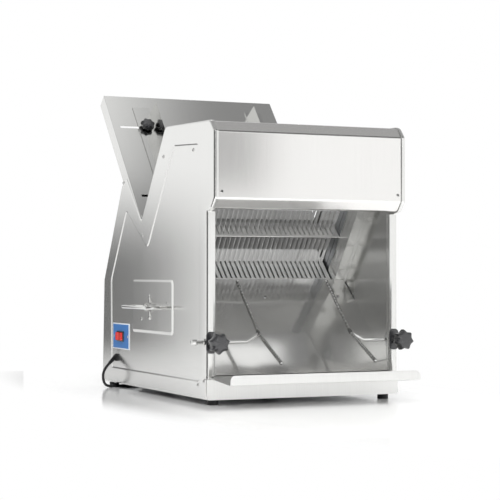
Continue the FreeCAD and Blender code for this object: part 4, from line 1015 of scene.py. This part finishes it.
def world(scene):
    """A white room as the camera and the metal see it, and a plain level of light.

    The metal also sees three dark drapes, which draw its rolled edges and folds.
    """
    room = bpy.data.worlds.new("studio_room")
    scene.world = room
    room.use_nodes = True
    tree = room.node_tree
    where = add(tree, "TexCoord").outputs["Generated"]
    split = add(tree, "SeparateXYZ", [(where, "Vector")])
    ramp = add(tree, "ValToRGB", [(split.outputs["Z"], "Fac")])
    stops = ((0.0, 1.0), (0.16, 1.0), (0.42, 0.72), (0.75, 0.34), (1.0, 0.28))
    while len(ramp.color_ramp.elements) < len(stops):
        ramp.color_ramp.elements.new(0.5)
    for stop, (place, level) in zip(ramp.color_ramp.elements, stops):
        stop.position = place
        stop.color = (level, level, level, 1)
    level = ramp.outputs["Color"]
    for aim, start, end in (((-0.85, -0.52, 0), 0.72, 0.86), ((0.41, -0.62, 0.67), 0.94, 0.985),
                            ((-0.1, 0.995, 0), 0.975, 0.992)):
        toward = add(tree, "VectorMath", [(where, 0)], [(1, aim)], operation="DOT_PRODUCT")
        drape = spread(tree, toward.outputs["Value"], 1, 0.06, start, end, "SMOOTHSTEP")
        level = add(tree, "VectorMath", [(level, 0), (drape, 1)],
                    operation="MULTIPLY").outputs["Vector"]
    path = add(tree, "LightPath").outputs
    seen = add(tree, "Mix", data_type="RGBA",
               links=[(path["Is Glossy Ray"], "Factor"), (level, 7)],
               values=[(6, (0.62, 0.62, 0.62, 1))])
    shown = add(tree, "Mix", data_type="RGBA",
                links=[(path["Is Camera Ray"], "Factor"), (seen.outputs[2], 6)],
                values=[(7, (1, 1, 1, 1))])
    tree.links.new(shown.outputs[2], tree.nodes["Background"].inputs["Color"])


def floor():
    """A white gloss table with the machine's shadow and mirror image, lost in white further out."""
    made, tree, shader = stuff("white_gloss_acrylic", "#e9e9e9", 0.0, 0.12, IOR=1.4)
    path = add(tree, "LightPath").outputs
    # The kept part is a long oval that runs from the machine towards the camera.
    place = object_place(tree, (1 / 0.48, 1 / 1.5, 1), (0, 0, -CAMERA_TURN))
    far = add(tree, "VectorMath", [(place, 0)], operation="LENGTH").outputs["Value"]
    fade = spread(tree, far, 0, 1, 0.72, 1.0, "SMOOTHSTEP")
    share = times(tree, fade, path["Is Camera Ray"])
    white = add(tree, "Emission")
    mix = add(tree, "MixShader", [(share, 0), (shader.outputs["BSDF"], 1),
                                  (white.outputs["Emission"], 2)])
    tree.links.new(mix.outputs["Shader"], tree.nodes["Material Output"].inputs["Surface"])
    shape = bmesh.new()
    bmesh.ops.create_circle(shape, cap_ends=True, segments=64, radius=2.4)
    solid(shape, "studio_floor", made)


def metal_only(shape, name, material):
    """Stand a stage piece in the scene that only the metal sees."""
    thing = solid(shape, name, material)
    for kind in ("camera", "diffuse", "shadow", "transmission", "volume_scatter"):
        setattr(thing, "visible_" + kind, False)


def lamp(name, place, aim, size, power):
    """A square soft lamp at a place, turned to an aim, that no mirror image shows."""
    light = bpy.data.lights.new(name, "AREA")
    light.size = size
    light.energy = power
    thing = into_scene(name, light)
    thing.location = place
    thing.rotation_euler = (Vector(aim) - Vector(place)).to_track_quat("-Z", "Y").to_euler()
    thing.visible_glossy = False


def card(name, low, high, levels, fades):
    """A card between two corners that only the metal sees, painted from one level to another.

    Each fade is an axis, a start and an end along it, and the second level's share at both.
    """
    made = bpy.data.materials.new(name + "_painted_board")
    made.use_nodes = True
    tree = made.node_tree
    tree.nodes.clear()
    where = add(tree, "TexCoord").outputs["Object"]
    split = add(tree, "SeparateXYZ", [(where, "Vector")])
    share = None
    for axis, start, end, first, last in fades:
        fade = spread(tree, split.outputs[axis], first, last, start, end, "SMOOTHSTEP")
        share = fade if share is None else times(tree, share, fade)
    glow = add(tree, "Emission", [(spread(tree, share, *levels), "Color")])
    add(tree, "OutputMaterial", [(glow.outputs["Emission"], "Surface")])
    shape = bmesh.new()
    spots = (low, (high[0], low[1], low[2]), high, (low[0], high[1], high[2]))
    shape.faces.new([shape.verts.new(place) for place in spots])
    metal_only(shape, name, made)


def flag():
    """A black cloth on the table, out at the left front, that only the metal sees."""
    made = stuff("black_velvet", "#050505", 0.0, 0.9, Specular_IOR_Level=0)[0]
    shape = bmesh.new()
    bmesh.ops.create_grid(shape, x_segments=1, y_segments=1, size=1,
                          matrix=Matrix.Translation((-1.45, -0.75, 0.002))
                          @ Matrix.Diagonal((0.85, 0.8, 1, 1)))
    metal_only(shape, "table_flag", made)


def camera(scene):
    """The camera, in front of the machine and to its left."""
    lens = bpy.data.cameras.new("product_camera")
    lens.sensor_width = 36
    lens.lens = 112.8
    lens.clip_end = 60
    thing = into_scene("product_camera", lens)
    thing.location = (-1.4954, -3.31204, 0.2796)
    thing.rotation_euler = (math.radians(90.81), 0, CAMERA_TURN)
    scene.camera = thing


class SLICER_OT_studio(bpy.types.Operator):
    """Set up the pale floor, the soft lamps, the reflector cards and the camera"""
    bl_idname = "slicer.studio"
    bl_label = "Studio"

    def execute(self, context):
        context.scene.view_settings.view_transform = "Standard"
        world(context.scene)
        floor()
        for row in (("key_softbox", (-1.6, -2.2, 2.6), (0, 0, 0.3), 2.2, 60),
                    ("fill_softbox", (2.4, -2.6, 1.6), (0, 0, 0.3), 2.4, 34),
                    ("top_softbox", (0.2, 0.6, 3.2), (0, 0, 0.3), 2.6, 45),
                    ("mouth_softbox", (-0.6, -1.9, 0.55), (0, 0, 0.3), 0.8, 20),
                    ("feed_softbox", (0.16, 0.02, 1.2), (0.12, 0.03, 0.33), 0.2, 1.5)):
            lamp(*row)
        card("side_card", (-1.6, 1.0, 0), (-0.25, 1.0, 1.1), (1, 0.15),
             ((0, -0.90, -0.52, 0, 1), (2, 0.0, 0.10, 0.4, 1), (2, 0.28, 0.62, 1, 0)))
        card("front_card", (-0.5, -1.07, 0.3), (1.1, -1.07, 1.0), (1, 0.4),
             ((0, 0.16, 0.30, 1, 0), (2, 0.42, 0.55, 0, 1), (2, 0.62, 0.95, 1, 0)))
        card("top_card", (-0.4, 0.08, 1.3), (0.5, 0.5, 1.3), (0.3, 1), ((0, -0.15, 0.35, 1, 0),))
        card("mouth_card", (-0.08, -0.225, 0.408), (0.19, -0.15, 0.408), (0.15, 1),
             ((0, 0.07, 0.17, 1, 0), (1, -0.19, -0.155, 1, 0)))
        flag()
        camera(context.scene)
        return {"FINISHED"}


class SLICER_PT_panel(bpy.types.Panel):
    """The slicer's operators in the sidebar"""
    bl_label = "Bread slicer"
    bl_idname = "SLICER_PT_panel"
    bl_space_type = "VIEW_3D"
    bl_region_type = "UI"
    bl_category = "Slicer"

    def draw(self, context):
        for step in STEPS:
            self.layout.operator(step.bl_idname)
        for name in SlicerSizes.__annotations__:
            self.layout.prop(context.scene.slicer_sizes, name)


STEPS = (SLICER_OT_casing, SLICER_OT_sheet_edges, SLICER_OT_side_panels, SLICER_OT_hood,
         SLICER_OT_front, SLICER_OT_blades, SLICER_OT_knobs, SLICER_OT_slice_guides,
         SLICER_OT_handles, SLICER_OT_switch, SLICER_OT_screws, SLICER_OT_relief,
         SLICER_OT_cord, SLICER_OT_studio)
CLASSES = (SlicerSizes, *STEPS, SLICER_PT_panel)


def register():
    for kind in CLASSES:
        bpy.utils.register_class(kind)
    bpy.types.Scene.slicer_sizes = bpy.props.PointerProperty(type=SlicerSizes)


def unregister():
    del bpy.types.Scene.slicer_sizes
    for kind in reversed(CLASSES):
        bpy.utils.unregister_class(kind)


def main():
    """Register the add-on and run its operators in order."""
    register()
    for step in STEPS:
        group, name = step.bl_idname.split(".")
        getattr(getattr(bpy.ops, group), name)()


if __name__ == "__main__":
    main()
